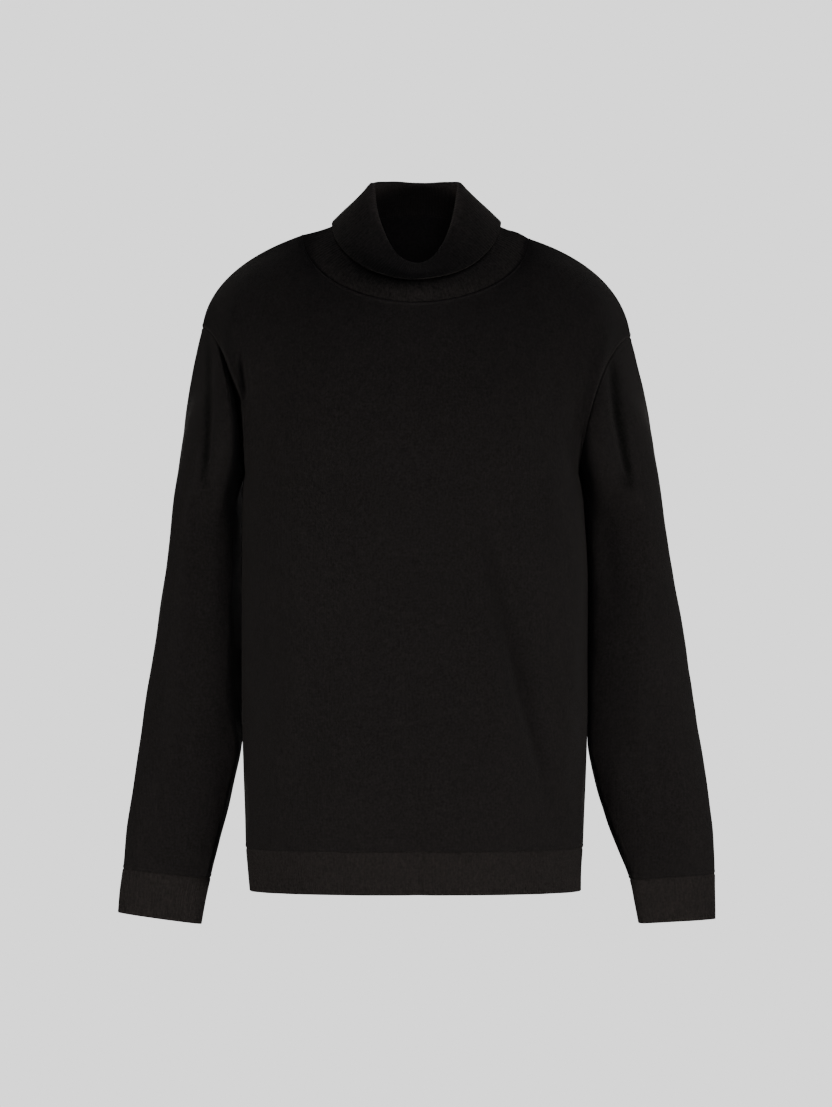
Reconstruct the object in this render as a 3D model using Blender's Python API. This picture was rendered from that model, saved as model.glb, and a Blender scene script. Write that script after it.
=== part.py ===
"""Turtleneck sweater in fine knit, filled out as it is when worn.

The tables are in millimetres and the meshes in metres. +X is the wearer's left, -Y is
the front and +Z is up. The origin lies between the two points where the shoulder
seams meet the neck seam.
"""

import math
from collections import namedtuple

import bmesh
import bpy
from mathutils import Matrix, Vector

WALL = 1.8  # thickness of the cloth
GAP = 0.36  # between two pieces along a seam
SEAM_Y = 6.0  # shoulder seams, side seams and underarms lie in this plane

NECK_HALF_WIDTH = 119.0
NECK_SIDE_Z = (1.0, -3.0)  # right and left end of the neck seam
NECK_FRONT = (-90.0, -71.0)  # y and z of the neck seam at centre front
NECK_BACK = (78.0, 26.0)  # and at centre back
NECK_BACK_LATE = 2.0  # the seam rises late from the shoulders to centre back

UNDERARM_Z = -250.0
HEM_SEAM_Z = -643.0
HEM_END_Z = -688.0

YOKE_ROWS = 10  # from the shoulder seam to the underarm
BODY_ROWS_Z = (-262, -278, -300, -340, -385, -430, -475, -520, -565, -605)
HEM_ROWS = 1
EASE_PASSES = 5  # smoothing of the bend at the underarm level
SHOULDER_COLUMNS = 8
NECK_COLUMNS = 16  # round half of the neck
SLEEVE_HEAD_ROWS = 6
CUFF_ROWS = 1

# Ribs run up the hem and the cuffs, raised from the outside of a plain wall.
RIB_HEIGHT = 0.4
HEM_RIBS = 208  # on the front, and as many on the back
CUFF_RIBS = 90

# One level round the body: its ends at the sides, its depth before and behind SEAM_Y.
Level = namedtuple("Level", "z right left front back front_power back_power")
BODY = (
    Level(-250, 182.0, 173.5, 124, 101, 2.62, 2.30),
    Level(-300, 182.6, 177.0, 124, 99, 2.66, 2.28),
    Level(-350, 182.9, 180.0, 121, 94, 2.60, 2.18),
    Level(-420, 183.0, 180.2, 118, 89, 2.48, 2.10),
    Level(-500, 182.5, 180.0, 116, 91, 2.35, 2.15),
    Level(-560, 181.0, 178.4, 114, 95, 2.30, 2.20),
    Level(-605, 179.4, 176.6, 112, 98, 2.25, 2.20),
    Level(-643, 178.4, 175.0, 110, 99, 2.25, 2.20),
    Level(-665, 176.6, 173.4, 108, 98, 2.25, 2.20),
    Level(-688, 174.5, 173.0, 107, 97, 2.25, 2.20),
)
TUCK = 5.0  # how far the side is drawn in where it meets the underarm
TUCK_HEIGHT = 17.0

# The shoulder seam, as the four points of a curve from the sleeve to the neck.
ShoulderSeam = namedtuple("ShoulderSeam", "tip_x tip_z leave_x leave_z arrive_x arrive_z")
SHOULDERS = {
    -1: ShoulderSeam(225, -96, 217, -42, 160, -13),
    1: ShoulderSeam(226, -106, 218, -46, 160, -16),
}

# Half an armhole, as the two middle points of a curve from the shoulder tip to the underarm.
Armhole = namedtuple("Armhole", "leave_x leave_y leave_z arrive_x arrive_y arrive_z")
ARMHOLES = {
    (-1, -1): Armhole(200, -81, -112, 172, -86, -236),
    (1, -1): Armhole(198, -81, -120, 166, -86, -236),
    (-1, 1): Armhole(204, 76, -110, 172, 84, -236),
    (1, 1): Armhole(204, 76, -118, 166, 84, -236),
}
# The way the cloth faces along the front of the armhole; x is away from the body.
Facing = namedtuple("Facing", "along x y z")
BODY_FACING = (
    Facing(0.0, 0.97, 0.0, 0.25),
    Facing(0.25, 0.86, -0.48, 0.14),
    Facing(0.5, 0.78, -0.60, -0.12),
    Facing(0.75, 0.80, -0.45, -0.38),
    Facing(1.0, 0.95, 0.0, -0.30),
)
SLEEVE_FACING = (
    Facing(0.0, 0.97, 0.0, 0.25),
    Facing(0.25, 0.76, -0.63, 0.16),
    Facing(0.5, 0.20, -0.97, -0.06),
    Facing(0.75, -0.60, -0.70, -0.38),
    Facing(1.0, -0.94, 0.0, -0.33),
)

# Columns of the upper body, from the armhole to the centre: the middle points of each
# column's curve, measured from its top and from its foot at the underarm level.
Column = namedtuple("Column", "along top_x top_y top_z foot_x foot_y foot_z")
FRONT_COLUMNS = (
    Column(0.000, -25, -87, -16, -5, -92, 14),
    Column(0.035, -20, -88, -15, -3, -75, 30),
    Column(0.070, -12, -86, -14, 0, -50, 50),
    Column(0.125, -4, -82, -15, 3, -26, 80),
    Column(0.190, -1, -81, -21, 3, -16, 94),
    Column(0.250, 2, -80, -31, 3, -12, 98),
    Column(0.3125, 3, -56, -35, 2, -7, 94),
    Column(0.375, 3, -38, -38, 1, -3, 84),
    Column(0.500, 0, -21, -52, 0, 0, 62),
)
BACK_COLUMNS = (
    Column(0.000, -21, 76, -14, -5, 84, 14),
    Column(0.035, -16, 74, -13, -3, 67, 30),
    Column(0.070, -10, 73, -13, 0, 50, 50),
    Column(0.125, -4, 73, -13, 3, 32, 78),
    Column(0.190, -1, 75, -14, 3, 24, 96),
    Column(0.250, 2, 76, -14, 3, 20, 104),
    Column(0.3125, 3, 52, -17, 2, 14, 110),
    Column(0.375, 3, 32, -22, 1, 9, 114),
    Column(0.500, 0, 15, -40, 0, 7, 118),
)

# One level of a sleeve, as an oval: its two ends in x, its centre and half depth in y,
# how far it is turned about the vertical, and its rise from the inner end to the outer.
Oval = namedtuple("Oval", "z outer inner y depth turn rise")
SLEEVES = {
    -1: (
        Oval(-300, 257.2, 180.8, 32, 61, 25, 0),
        Oval(-350, 263.8, 180.8, 33, 57, 26, 0),
        Oval(-415, 273.0, 181.0, 34, 50, 25, 0),
        Oval(-500, 286.0, 182.2, 33, 39, 16, 0),
        Oval(-541, 291.0, 184.0, 30, 34, 10, 1),
        Oval(-583, 297.0, 193.8, 26, 28, 6, 3),
        Oval(-625, 304.0, 205.0, 23, 24, 3, 6),
        Oval(-670.5, 309.0, 216.6, 20, 20, 0, 9.7),
        Oval(-695, 312.0, 222.4, 18, 17, 0, 11),
        Oval(-718, 313.8, 226.8, 17, 16, 0, 12.2),
    ),
    1: (
        Oval(-300, 260.4, 175.8, 32, 61, 26, 0),
        Oval(-350, 268.2, 177.6, 34, 55, 27, 0),
        Oval(-415, 280.0, 178.6, 35, 49, 26, 0),
        Oval(-500, 294.0, 180.2, 34, 40, 17, 0),
        Oval(-541, 300.0, 181.6, 30, 35, 10, 0),
        Oval(-583, 305.0, 191.0, 26, 30, 6, 2),
        Oval(-625, 310.0, 205.4, 22, 25, 3, 4),
        Oval(-674, 313.0, 225.6, 20, 20, 0, 6),
        Oval(-698, 313.4, 230.6, 18, 17, 0, 5),
        Oval(-721, 313.6, 235.0, 17, 16, 0, 4.3),
    ),
}
SLEEVE_ROWS_Z = (-325, -350, -382, -415, -450, -485, -520, -550, -583, -625)

# How the sleeve leaves the armhole, by the angle round it: 0 outside, 90 at the front,
# 180 at the underarm. The middle points of each column's curve, from its two ends.
Leave = namedtuple("Leave", "angle top_x top_y top_z foot_x foot_y foot_z")
SLEEVE_HEAD = (
    Leave(0, 18, 3, -55, -4, -3, 70),
    Leave(45, 16, -7, -46, -2, -8, 64),
    Leave(90, 13, -8, -34, -4, -12, 46),
    Leave(135, 9, -6, -20, 0, -8, 26),
    Leave(180, 5, 3, -15, 0, -3, 18),
    Leave(225, 9, 8, -20, 0, 5, 26),
    Leave(270, 13, 9, -34, -4, 8, 46),
    Leave(315, 16, 9, -46, -2, 5, 64),
    Leave(360, 18, 3, -55, -4, -3, 70),
)

# The roll collar, as rings through the middle of its wall: up from the neck seam, over
# the fold, and down the outside to the free edge. The last columns shape a ring between
# its sides and its middle: how square its back is, how late its height changes towards
# the front and towards the back, and how far it is lifted over the back of the shoulders.
Ring = namedtuple(
    "Ring", "half_width side_y side_z front_y front_z back_y back_z square drop rise lift"
)
COLLAR = (
    Ring(106.0, 6.5, 3.2, -87.5, -59.0, 71.5, 31.0, 1.00, 1.00, 2.10, 0.0),
    Ring(93.5, 7.5, 6.8, -83.5, -51.6, 64.5, 35.5, 0.98, 1.08, 2.00, 0.0),
    Ring(79.0, 9.0, 14.2, -71.5, -47.6, 57.5, 40.4, 0.95, 1.18, 1.50, 0.0),
    Ring(64.0, 10.5, 26.6, -58.0, -43.4, 50.0, 45.4, 0.90, 1.28, 1.05, 0.0),
    Ring(51.0, 12.0, 40.8, -46.8, -39.0, 43.2, 50.6, 0.80, 1.32, 0.95, 0.0),
    Ring(44.6, 12.5, 50.2, -41.2, -36.2, 39.0, 54.6, 0.72, 1.28, 0.90, 0.0),
    Ring(44.2, 12.5, 54.8, -41.7, -32.8, 39.5, 57.6, 0.72, 1.26, 0.90, 0.0),
    Ring(46.8, 12.5, 56.0, -46.0, -32.0, 43.6, 58.6, 0.74, 1.26, 0.90, 0.0),
    Ring(54.8, 12.0, 46.6, -57.0, -36.4, 55.0, 52.4, 0.80, 1.30, 0.90, 2.0),
    Ring(66.0, 11.0, 34.6, -68.0, -40.6, 66.5, 42.4, 0.84, 1.26, 0.95, 4.0),
    Ring(77.5, 10.0, 23.6, -79.0, -44.8, 77.5, 30.4, 0.82, 1.18, 0.95, 6.0),
    Ring(89.0, 9.0, 12.8, -87.8, -50.0, 87.0, 14.0, 0.80, 1.12, 1.00, 8.5),
)

# Creases, as soft troughs through points (x, z) on the front or the back of a piece.
Crease = namedtuple("Crease", "face depth width path")
BODY_CREASES = (
    Crease(-1, 3.4, 17, ((-149, -397), (-160, -438), (-170, -496), (-175, -560))),
    Crease(-1, 4.2, 19, ((72, -266), (78, -318), (91, -392), (107, -454), (146, -622))),
    Crease(-1, 3.4, 20, ((-13, -455), (-10, -527), (-5, -600), (2, -652), (2, -690))),
    Crease(-1, 2.4, 26, ((-60, -376), (-81, -443), (-102, -506), (-118, -595))),
    Crease(-1, -2.4, 17, ((66, -390), (80, -454), (97, -540))),
    Crease(1, 3.6, 20, ((-96, -240), (-84, -330), (-90, -430), (-112, -560))),
    Crease(1, 3.2, 22, ((88, -262), (98, -372), (92, -470), (104, -610))),
    Crease(1, 3.0, 24, ((8, -400), (2, -500), (10, -600), (8, -690))),
)
SLEEVE_CREASES = {
    -1: (
        Crease(-1, 4.0, 13, ((-221, -112), (-216, -165), (-217, -215), (-226, -293))),
        Crease(-1, 3.0, 15, ((-226, -293), (-230, -368), (-238, -488))),
        Crease(1, 3.6, 16, ((-214, -140), (-208, -230), (-216, -330), (-232, -460))),
    ),
    1: (
        Crease(-1, 3.6, 13, ((203, -140), (209, -175), (214, -206), (224, -250))),
        Crease(-1, 3.0, 14, ((197, -262), (203, -344), (209, -395))),
        Crease(-1, 2.6, 15, ((236, -306), (246, -357), (251, -410))),
        Crease(1, 3.6, 16, ((212, -150), (207, -240), (218, -350), (238, -500))),
    ),
}

BLACK_JERSEY = (0.0105, 0.0098, 0.0092)
BLACK_RIB = (0.0120, 0.0112, 0.0105)


def read_row(table, position):
    """The row of a table at a position in its first column, read smoothly."""
    keys = [row[0] for row in table]
    rising = keys[-1] > keys[0]
    last = len(table) - 1
    index = 0
    while index < last - 1 and (position > keys[index + 1]) == rising:
        index += 1
    span = keys[index + 1] - keys[index]
    share = min(max((position - keys[index]) / span, 0.0), 1.0)
    values = []
    for column in range(len(table[0])):
        start, end = table[index][column], table[index + 1][column]
        before = table[max(index - 1, 0)]
        after = table[min(index + 2, last)]
        start_slope = (end - before[column]) / (keys[index + 1] - before[0]) * span
        end_slope = (after[column] - start) / (after[0] - keys[index]) * span
        square, cube = share**2, share**3
        values.append(
            start * (2 * cube - 3 * square + 1)
            + start_slope * (cube - 2 * square + share)
            + end * (3 * square - 2 * cube)
            + end_slope * (cube - square)
        )
    return table[0]._replace(**dict(zip(table[0]._fields, values)))


def curve_point(start, leave, arrive, end, share):
    rest = 1 - share
    return (
        start * rest**3
        + leave * (3 * rest**2 * share)
        + arrive * (3 * rest * share**2)
        + end * share**3
    )


def power(value, exponent):
    return math.copysign(abs(value) ** exponent, value)


def body_point(angle, z):
    """A point round the body: 0 at the right side, 90 degrees at the front."""
    level = read_row(BODY, z)
    across, along = math.cos(angle), math.sin(angle)
    half_width = level.right if across > 0 else level.left
    depth, exponent = level.back, 2 / level.back_power
    if along > 0:
        depth, exponent = level.front, 2 / level.front_power
    tuck = TUCK * math.exp(-(((z - UNDERARM_Z) / TUCK_HEIGHT) ** 2)) * across**8
    return Vector(
        (
            -power(across, exponent) * half_width + math.copysign(tuck, across),
            SEAM_Y - power(along, exponent) * depth,
            z,
        )
    )


def shoulder_point(side, share):
    """A point of a shoulder seam, from the sleeve to the neck, and the way it faces."""
    seam = SHOULDERS[side]
    neck_z = NECK_SIDE_Z[side > 0]
    points = [
        Vector((side * x, SEAM_Y, z))
        for x, z in (
            (seam.tip_x, seam.tip_z),
            (seam.leave_x, seam.leave_z),
            (seam.arrive_x, seam.arrive_z),
            (NECK_HALF_WIDTH, neck_z),
        )
    ]
    here = curve_point(*points, share)
    step = curve_point(*points, share + 0.01) - curve_point(*points, share - 0.01)
    return here, Vector((-step.z, 0, step.x)).normalized() * -side


def neck_point(face, angle):
    """A point of the neck seam, from right to left, and the way the cloth faces there."""
    across, along = math.cos(angle), math.sin(angle)
    middle_y, middle_z = NECK_FRONT if face < 0 else NECK_BACK
    right_z, left_z = NECK_SIDE_Z
    side_z = right_z + (left_z - right_z) * (1 - across) / 2
    here = Vector(
        (
            -NECK_HALF_WIDTH * across,
            SEAM_Y + (middle_y - SEAM_Y) * along,
            side_z + (middle_z - side_z) * along ** (1 if face < 0 else NECK_BACK_LATE),
        )
    )
    lean = Vector((0, -0.93, 0.37)) if face < 0 else Vector((0, 0.64, 0.77))
    facing = Vector((-0.34 * across, 0, 0.94 * abs(across))) + lean * along
    return here, facing.normalized()


def armhole_point(side, face, share):
    """A point of an armhole, from the shoulder tip down to the underarm."""
    tip, _ = shoulder_point(side, 0)
    underarm = body_point(0 if side < 0 else math.pi, UNDERARM_Z)
    half = ARMHOLES[side, face]
    leave = Vector((side * half.leave_x, half.leave_y, half.leave_z))
    arrive = Vector((side * half.arrive_x, half.arrive_y, half.arrive_z))
    return curve_point(tip, leave, arrive, underarm, share)


def armhole_facing(table, side, face, share):
    way = read_row(table, share)
    return Vector((side * way.x, -face * way.y, way.z)).normalized()


def seam_ways(points, facings, ring=False):
    """At each point of a seam, the way across it: to the right of its run, seen from outside."""
    count = len(points)
    ways = []
    for index, facing in enumerate(facings):
        if ring:
            before, after = points[index - 1], points[(index + 1) % count]
        else:
            before, after = points[max(index - 1, 0)], points[min(index + 1, count - 1)]
        ways.append((after - before).cross(facing).normalized())
    return ways


def grid_normals(grid, ring):
    """The normals of a grid whose rows run down and whose columns run to the right."""
    rows, columns = len(grid), len(grid[0])
    normals = []
    for row in range(rows):
        above, below = grid[max(row - 1, 0)], grid[min(row + 1, rows - 1)]
        line = []
        for column in range(columns):
            if ring:
                left, right = grid[row][column - 1], grid[row][(column + 1) % columns]
            else:
                left = grid[row][max(column - 1, 0)]
                right = grid[row][min(column + 1, columns - 1)]
            down = below[column] - above[column]
            line.append(down.cross(right - left).normalized())
        normals.append(line)
    return normals


def crease_depth(creases, point, normal):
    """How far the creases press this point of the cloth in."""
    depth = 0.0
    place = Vector((point.x, point.z))
    for crease in creases:
        faces = max(0.0, normal.y * crease.face)
        nearest, share = math.inf, 0.0
        legs = list(zip(crease.path, crease.path[1:]))
        for index, (start, end) in enumerate(legs):
            start, end = Vector(start), Vector(end)
            leg = end - start
            along = min(max((place - start).dot(leg) / leg.length_squared, 0), 1)
            distance = (place - start - leg * along).length
            if distance < nearest:
                nearest, share = distance, (index + along) / len(legs)
        taper = min(1.0, (0.12 + share) / 0.4, (1.35 - share) / 0.5)
        depth += crease.depth * taper * faces * math.exp(-((nearest / crease.width) ** 2))
    return depth


def press_creases(grid, creases, ring, fixed):
    """Moves the points of a grid in by its creases, leaving the fixed ones."""
    normals = grid_normals(grid, ring)
    return [
        [
            point if fixed(row, column) else
            point - normals[row][column] * crease_depth(creases, point, normals[row][column])
            for column, point in enumerate(line)
        ]
        for row, line in enumerate(grid)
    ]


def knit_material(name, colour, roughness):
    material = bpy.data.materials.new(name)
    material.use_nodes = True
    shader = material.node_tree.nodes["Principled BSDF"]
    shader.inputs["Base Color"].default_value = (*colour, 1)
    shader.inputs["Roughness"].default_value = roughness
    shader.inputs["Metallic"].default_value = 0
    material.diffuse_color = (*colour, 1)
    return material


def build_wall(name, outer, inner, ring, material, collection):
    """One closed wall between an outer and an inner grid of points, as a new object.

    Both grids have the same rows, which run down, and columns that run to the right,
    seen from outside. Outer may have a whole multiple of inner's columns.
    """
    mesh = bmesh.new()
    out = [[mesh.verts.new(point * 0.001) for point in line] for line in outer]
    back = [[mesh.verts.new(point * 0.001) for point in line] for line in inner]
    rows = len(out)
    out_steps = len(out[0]) - (not ring)
    back_steps = len(back[0]) - (not ring)
    each = out_steps // back_steps
    for lines, steps, turned in ((out, out_steps, False), (back, back_steps, True)):
        guide = out if out_steps == back_steps else lines  # both sides fold the same way
        for row in range(rows - 1):
            upper, lower = lines[row], lines[row + 1]
            for step in range(steps):
                after = (step + 1) % len(upper)
                falling = (guide[row][step].co - guide[row + 1][after].co).length
                climbing = (guide[row + 1][step].co - guide[row][after].co).length
                if falling < climbing:
                    halves = (
                        (upper[step], lower[step], lower[after]),
                        (upper[step], lower[after], upper[after]),
                    )
                else:
                    halves = (
                        (upper[step], lower[step], upper[after]),
                        (lower[step], lower[after], upper[after]),
                    )
                for corners in halves:
                    mesh.faces.new(reversed(corners) if turned else corners)
    for row, turned in ((0, False), (rows - 1, True)):
        for step in range(back_steps):
            near = back[row][step]
            far = back[row][(step + 1) % len(back[row])]
            edge = [
                out[row][(step * each + index) % len(out[row])] for index in range(each + 1)
            ]
            middle = each // 2
            faces = [(near, edge[index], edge[index + 1]) for index in range(middle)]
            faces.append((near, edge[middle], far))
            faces += [(far, edge[index], edge[index + 1]) for index in range(middle, each)]
            for corners in faces:
                mesh.faces.new(reversed(corners) if turned else corners)
    if not ring:
        for column, turned in ((0, False), (-1, True)):
            for row in range(rows - 1):
                corners = (
                    out[row][column],
                    back[row][column],
                    back[row + 1][column],
                    out[row + 1][column],
                )
                mesh.faces.new(reversed(corners) if turned else corners)
    bmesh.ops.recalc_face_normals(mesh, faces=mesh.faces)
    data = bpy.data.meshes.new(name)
    mesh.to_mesh(data)
    mesh.free()
    data.materials.append(material)
    data.shade_smooth()
    data.set_sharp_from_angle(angle=math.radians(50))
    solid = bpy.data.objects.new(name, data)
    collection.objects.link(solid)
    return solid


def offset_grid(grid, ways, distance):
    return [
        [point + way * distance for point, way in zip(line, line_ways)]
        for line, line_ways in zip(grid, ways)
    ]


def ease_rows(grid, rows, passes, edge):
    """Evens out the bend of the columns at some rows, except for the edge columns."""
    last = len(grid[0]) - 1
    for _ in range(passes):
        for row in rows:
            for column in range(edge, last - edge + 1):
                above, here, below = (grid[row + step][column] for step in (-1, 0, 1))
                level = (above.z - here.z) / (above.z - below.z)
                amount = min(0.5, (min(column, last - column) - edge + 1) / 6)
                grid[row][column] = here.lerp(above.lerp(below, level), amount)


def even_columns(grid, count, ring):
    """The same grid of vectors with another number of evenly spaced columns."""
    last = len(grid[0]) - (not ring)
    lines = []
    for line in grid:
        places = [last * index / count for index in range(count + (not ring))]
        before = [min(int(place), last - 1) for place in places]
        lines.append(
            [
                line[index].lerp(line[(index + 1) % len(line)], place - index)
                for place, index in zip(places, before)
            ]
        )
    return lines


def build_ribbed(name, grid, facing, ribs, ring, material, collection):
    """A wall with ribs from its top to its bottom, and a plain inside."""
    outer, out_ways = (even_columns(lines, 2 * ribs, ring) for lines in (grid, facing))
    back, back_ways = (even_columns(lines, ribs // 2, ring) for lines in (grid, facing))
    ribbed = [
        [
            point + way * (RIB_HEIGHT if column % 2 == 0 else 0)
            for column, (point, way) in enumerate(zip(line, ways))
        ]
        for line, ways in zip(outer, out_ways)
    ]
    inner = offset_grid(back, back_ways, -WALL)
    build_wall(name, ribbed, inner, ring, material, collection)


def body_half(face):
    """The grid of the front (face -1) or the back (face 1), down to the end of the hem.

    Gives the points, the way each faces, and the index of the first row of the hem.
    """
    columns = 2 * SHOULDER_COLUMNS + NECK_COLUMNS
    first = face  # the grid starts at the right side on the front, at the left on the back
    table = FRONT_COLUMNS if face < 0 else BACK_COLUMNS
    start_angle = 0 if face < 0 else math.pi

    top, top_facing = [], []
    for column in range(columns + 1):
        mirrored = min(column, columns - column)
        side = first if column < columns / 2 else -first
        if mirrored < SHOULDER_COLUMNS:
            point, facing = shoulder_point(side, mirrored / SHOULDER_COLUMNS)
        else:
            angle = math.pi * (column - SHOULDER_COLUMNS) / NECK_COLUMNS
            point, facing = neck_point(face, angle if face < 0 else math.pi - angle)
        top.append(point)
        top_facing.append(facing)

    grid = []
    feet = [
        body_point(start_angle + math.pi * column / columns, UNDERARM_Z)
        for column in range(columns + 1)
    ]
    for row in range(YOKE_ROWS + 1):
        share = row / YOKE_ROWS
        line = []
        for column in range(columns + 1):
            side = first if column < columns / 2 else -first
            if column in (0, columns):
                line.append(armhole_point(side, face, share))
                continue
            shape = read_row(table, min(column, columns - column) / columns)
            leave = Vector((side * shape.top_x, shape.top_y, shape.top_z))
            arrive = Vector((side * shape.foot_x, shape.foot_y, shape.foot_z))
            foot = feet[column]
            line.append(curve_point(top[column], top[column] + leave, foot + arrive, foot, share))
        grid.append(line)
    hem_rows_z = [
        HEM_SEAM_Z - GAP * 1.3 + (HEM_END_Z - HEM_SEAM_Z) * row / HEM_ROWS
        for row in range(HEM_ROWS + 1)
    ]
    for z in (*BODY_ROWS_Z, HEM_SEAM_Z + GAP / 3, *hem_rows_z):
        grid.append(
            [
                body_point(start_angle + math.pi * column / columns, z)
                for column in range(columns + 1)
            ]
        )

    ease_rows(grid, range(YOKE_ROWS - 3, YOKE_ROWS + 4), EASE_PASSES, 4)
    grid = press_creases(
        grid, BODY_CREASES, False, lambda row, column: row == 0 or column in (0, columns)
    )
    facing = grid_normals(grid, False)
    facing[0] = top_facing
    across = [[Vector() for _ in line] for line in grid]
    seam = seam_ways(top, top_facing)
    neck = range(SHOULDER_COLUMNS, columns - SHOULDER_COLUMNS + 1)
    for column in neck:
        across[0][column] += seam[column]
    for column in range(columns + 1):
        if column <= neck[0] or column >= neck[-1]:
            across[0][column] += Vector((0, face, 0))
    for column, side in ((0, first), (columns, -first)):
        edge = [grid[row][column] for row in range(YOKE_ROWS + 1)]
        edge_facing = [
            armhole_facing(BODY_FACING, side, face, row / YOKE_ROWS)
            for row in range(YOKE_ROWS + 1)
        ]
        inward = 1 if column == 0 else -1
        for row, way in enumerate(seam_ways(edge, edge_facing)):
            facing[row][column] = edge_facing[row]
            across[row][column] -= way * inward
        for row in range(YOKE_ROWS, len(grid)):
            across[row][column] += Vector((0, face, 0))
            if row > YOKE_ROWS:
                facing[row][column] = Vector((side, 0, 0))
    return offset_grid(grid, across, GAP / 2), facing, len(grid) - len(hem_rows_z)


def build_body(materials, collection):
    for face, panel, hem in ((-1, "front_panel", "front_hem"), (1, "back_panel", "back_hem")):
        outer, facing, hem_row = body_half(face)
        inner = offset_grid(outer, facing, -WALL)
        build_wall(
            panel, outer[:hem_row], inner[:hem_row], False, materials["jersey"], collection
        )
        build_ribbed(
            hem, outer[hem_row:], facing[hem_row:], HEM_RIBS, False, materials["rib"], collection
        )


def oval_point(side, angle, z):
    """A point round a sleeve: 0 outside, 90 degrees at the front, 180 at the inside."""
    oval = read_row(SLEEVES[side], z)
    centre = Vector((side * (oval.outer + oval.inner) / 2, oval.y))
    half_width = (oval.outer - oval.inner) / 2
    turn = math.radians(oval.turn)
    long_reach = oval.depth * math.sin(turn)
    short = math.sqrt(half_width**2 - long_reach**2) / math.cos(turn)
    flat = Vector((side * short * math.cos(angle), -oval.depth * math.sin(angle)))
    flat.rotate(Matrix.Rotation(side * turn, 2))
    place = centre + flat
    outward = side * flat.x / (2 * half_width)
    return Vector((place.x, place.y, z + oval.rise * outward))


def sleeve_grid(side):
    """A sleeve with its cuff: its points, facings and the index of the cuff's first row."""
    columns = 2 * YOKE_ROWS
    angles = [math.tau * column / columns for column in range(columns)]
    head, head_facing = [], []
    for column in range(columns):
        face = -1 if column <= YOKE_ROWS else 1
        share = (column if face < 0 else columns - column) / YOKE_ROWS
        head.append(armhole_point(side, face, share))
        head_facing.append(armhole_facing(SLEEVE_FACING, side, face, share))

    first_z = SLEEVES[side][0].z
    cuff_z = SLEEVES[side][-3].z
    end_z = SLEEVES[side][-1].z
    grid = []
    for row in range(SLEEVE_HEAD_ROWS + 1):
        line = []
        for column, angle in enumerate(angles):
            shape = read_row(SLEEVE_HEAD, math.degrees(angle))
            leave = Vector((side * shape.top_x, shape.top_y, shape.top_z))
            arrive = Vector((side * shape.foot_x, shape.foot_y, shape.foot_z))
            foot = oval_point(side, angle, first_z)
            top = head[column]
            share = row / SLEEVE_HEAD_ROWS
            line.append(curve_point(top, top + leave, foot + arrive, foot, share))
        grid.append(line)
    cuff_rows_z = [
        cuff_z - GAP / 2 + (end_z - cuff_z) * row / CUFF_ROWS for row in range(CUFF_ROWS + 1)
    ]
    for z in (*SLEEVE_ROWS_Z, cuff_z + GAP / 2, *cuff_rows_z):
        grid.append([oval_point(side, angle, z) for angle in angles])

    if side > 0:  # columns run to the right, seen from outside
        grid = [[line[-column] for column in range(columns)] for line in grid]
        head_facing = [head_facing[-column] for column in range(columns)]
    grid = press_creases(grid, SLEEVE_CREASES[side], True, lambda row, column: row == 0)
    facing = grid_normals(grid, True)
    facing[0] = head_facing
    ways = seam_ways(grid[0], head_facing, ring=True)
    grid[0] = [point + way * (GAP / 2) for point, way in zip(grid[0], ways)]
    return grid, facing, len(grid) - len(cuff_rows_z)


def build_sleeve(side, sleeve, cuff, materials, collection):
    outer, facing, cuff_row = sleeve_grid(side)
    inner = offset_grid(outer, facing, -WALL)
    build_wall(sleeve, outer[:cuff_row], inner[:cuff_row], True, materials["jersey"], collection)
    build_ribbed(
        cuff, outer[cuff_row:], facing[cuff_row:], CUFF_RIBS, True, materials["rib"], collection
    )


def collar_point(ring, angle):
    """A point round a ring of the collar: 0 at the right side, 90 degrees at the front."""
    across, along = math.cos(angle), abs(math.sin(angle))
    before = math.sin(angle) >= 0
    middle_y = ring.front_y if before else ring.back_y
    middle_z = ring.front_z if before else ring.back_z
    square = 1 if before else ring.square
    late = ring.drop if before else ring.rise
    lift = 0 if before else ring.lift * 2 * along * abs(across)
    return Vector(
        (
            -ring.half_width * power(across, square),
            ring.side_y + (middle_y - ring.side_y) * along**square,
            ring.side_z + (middle_z - ring.side_z) * along**late + lift,
        )
    )


def build_collar(materials, collection):
    columns = 2 * NECK_COLUMNS
    angles = [math.tau * column / columns for column in range(columns)]
    seam, seam_facing = [], []
    for angle in angles:
        point, facing = neck_point(-1 if math.sin(angle) >= 0 else 1, math.acos(math.cos(angle)))
        seam.append(point)
        seam_facing.append(facing)
    ways = seam_ways(seam, seam_facing, ring=True)
    foot = [
        point - facing * (WALL / 2) - way * (GAP / 2)
        for point, facing, way in zip(seam, seam_facing, ways)
    ]
    rings = [[collar_point(ring, angle) for angle in angles] for ring in COLLAR]
    middle = [*reversed(rings), foot]
    facing = grid_normals(middle, True)
    facing[-1] = seam_facing
    outer = offset_grid(middle, facing, WALL / 2)
    inner = offset_grid(middle, facing, -WALL / 2)
    build_wall("roll_collar", outer, inner, True, materials["rib"], collection)


def build_sweater():
    for item in list(bpy.data.objects):
        bpy.data.objects.remove(item)
    collection = bpy.data.collections.new("turtleneck_sweater")
    bpy.context.scene.collection.children.link(collection)
    materials = {
        "jersey": knit_material("jersey_knit", BLACK_JERSEY, 0.9),
        "rib": knit_material("rib_knit", BLACK_RIB, 0.88),
    }
    build_body(materials, collection)
    build_sleeve(-1, "right_sleeve", "right_cuff", materials, collection)
    build_sleeve(1, "left_sleeve", "left_cuff", materials, collection)
    build_collar(materials, collection)


build_sweater()
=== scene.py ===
import math

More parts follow.
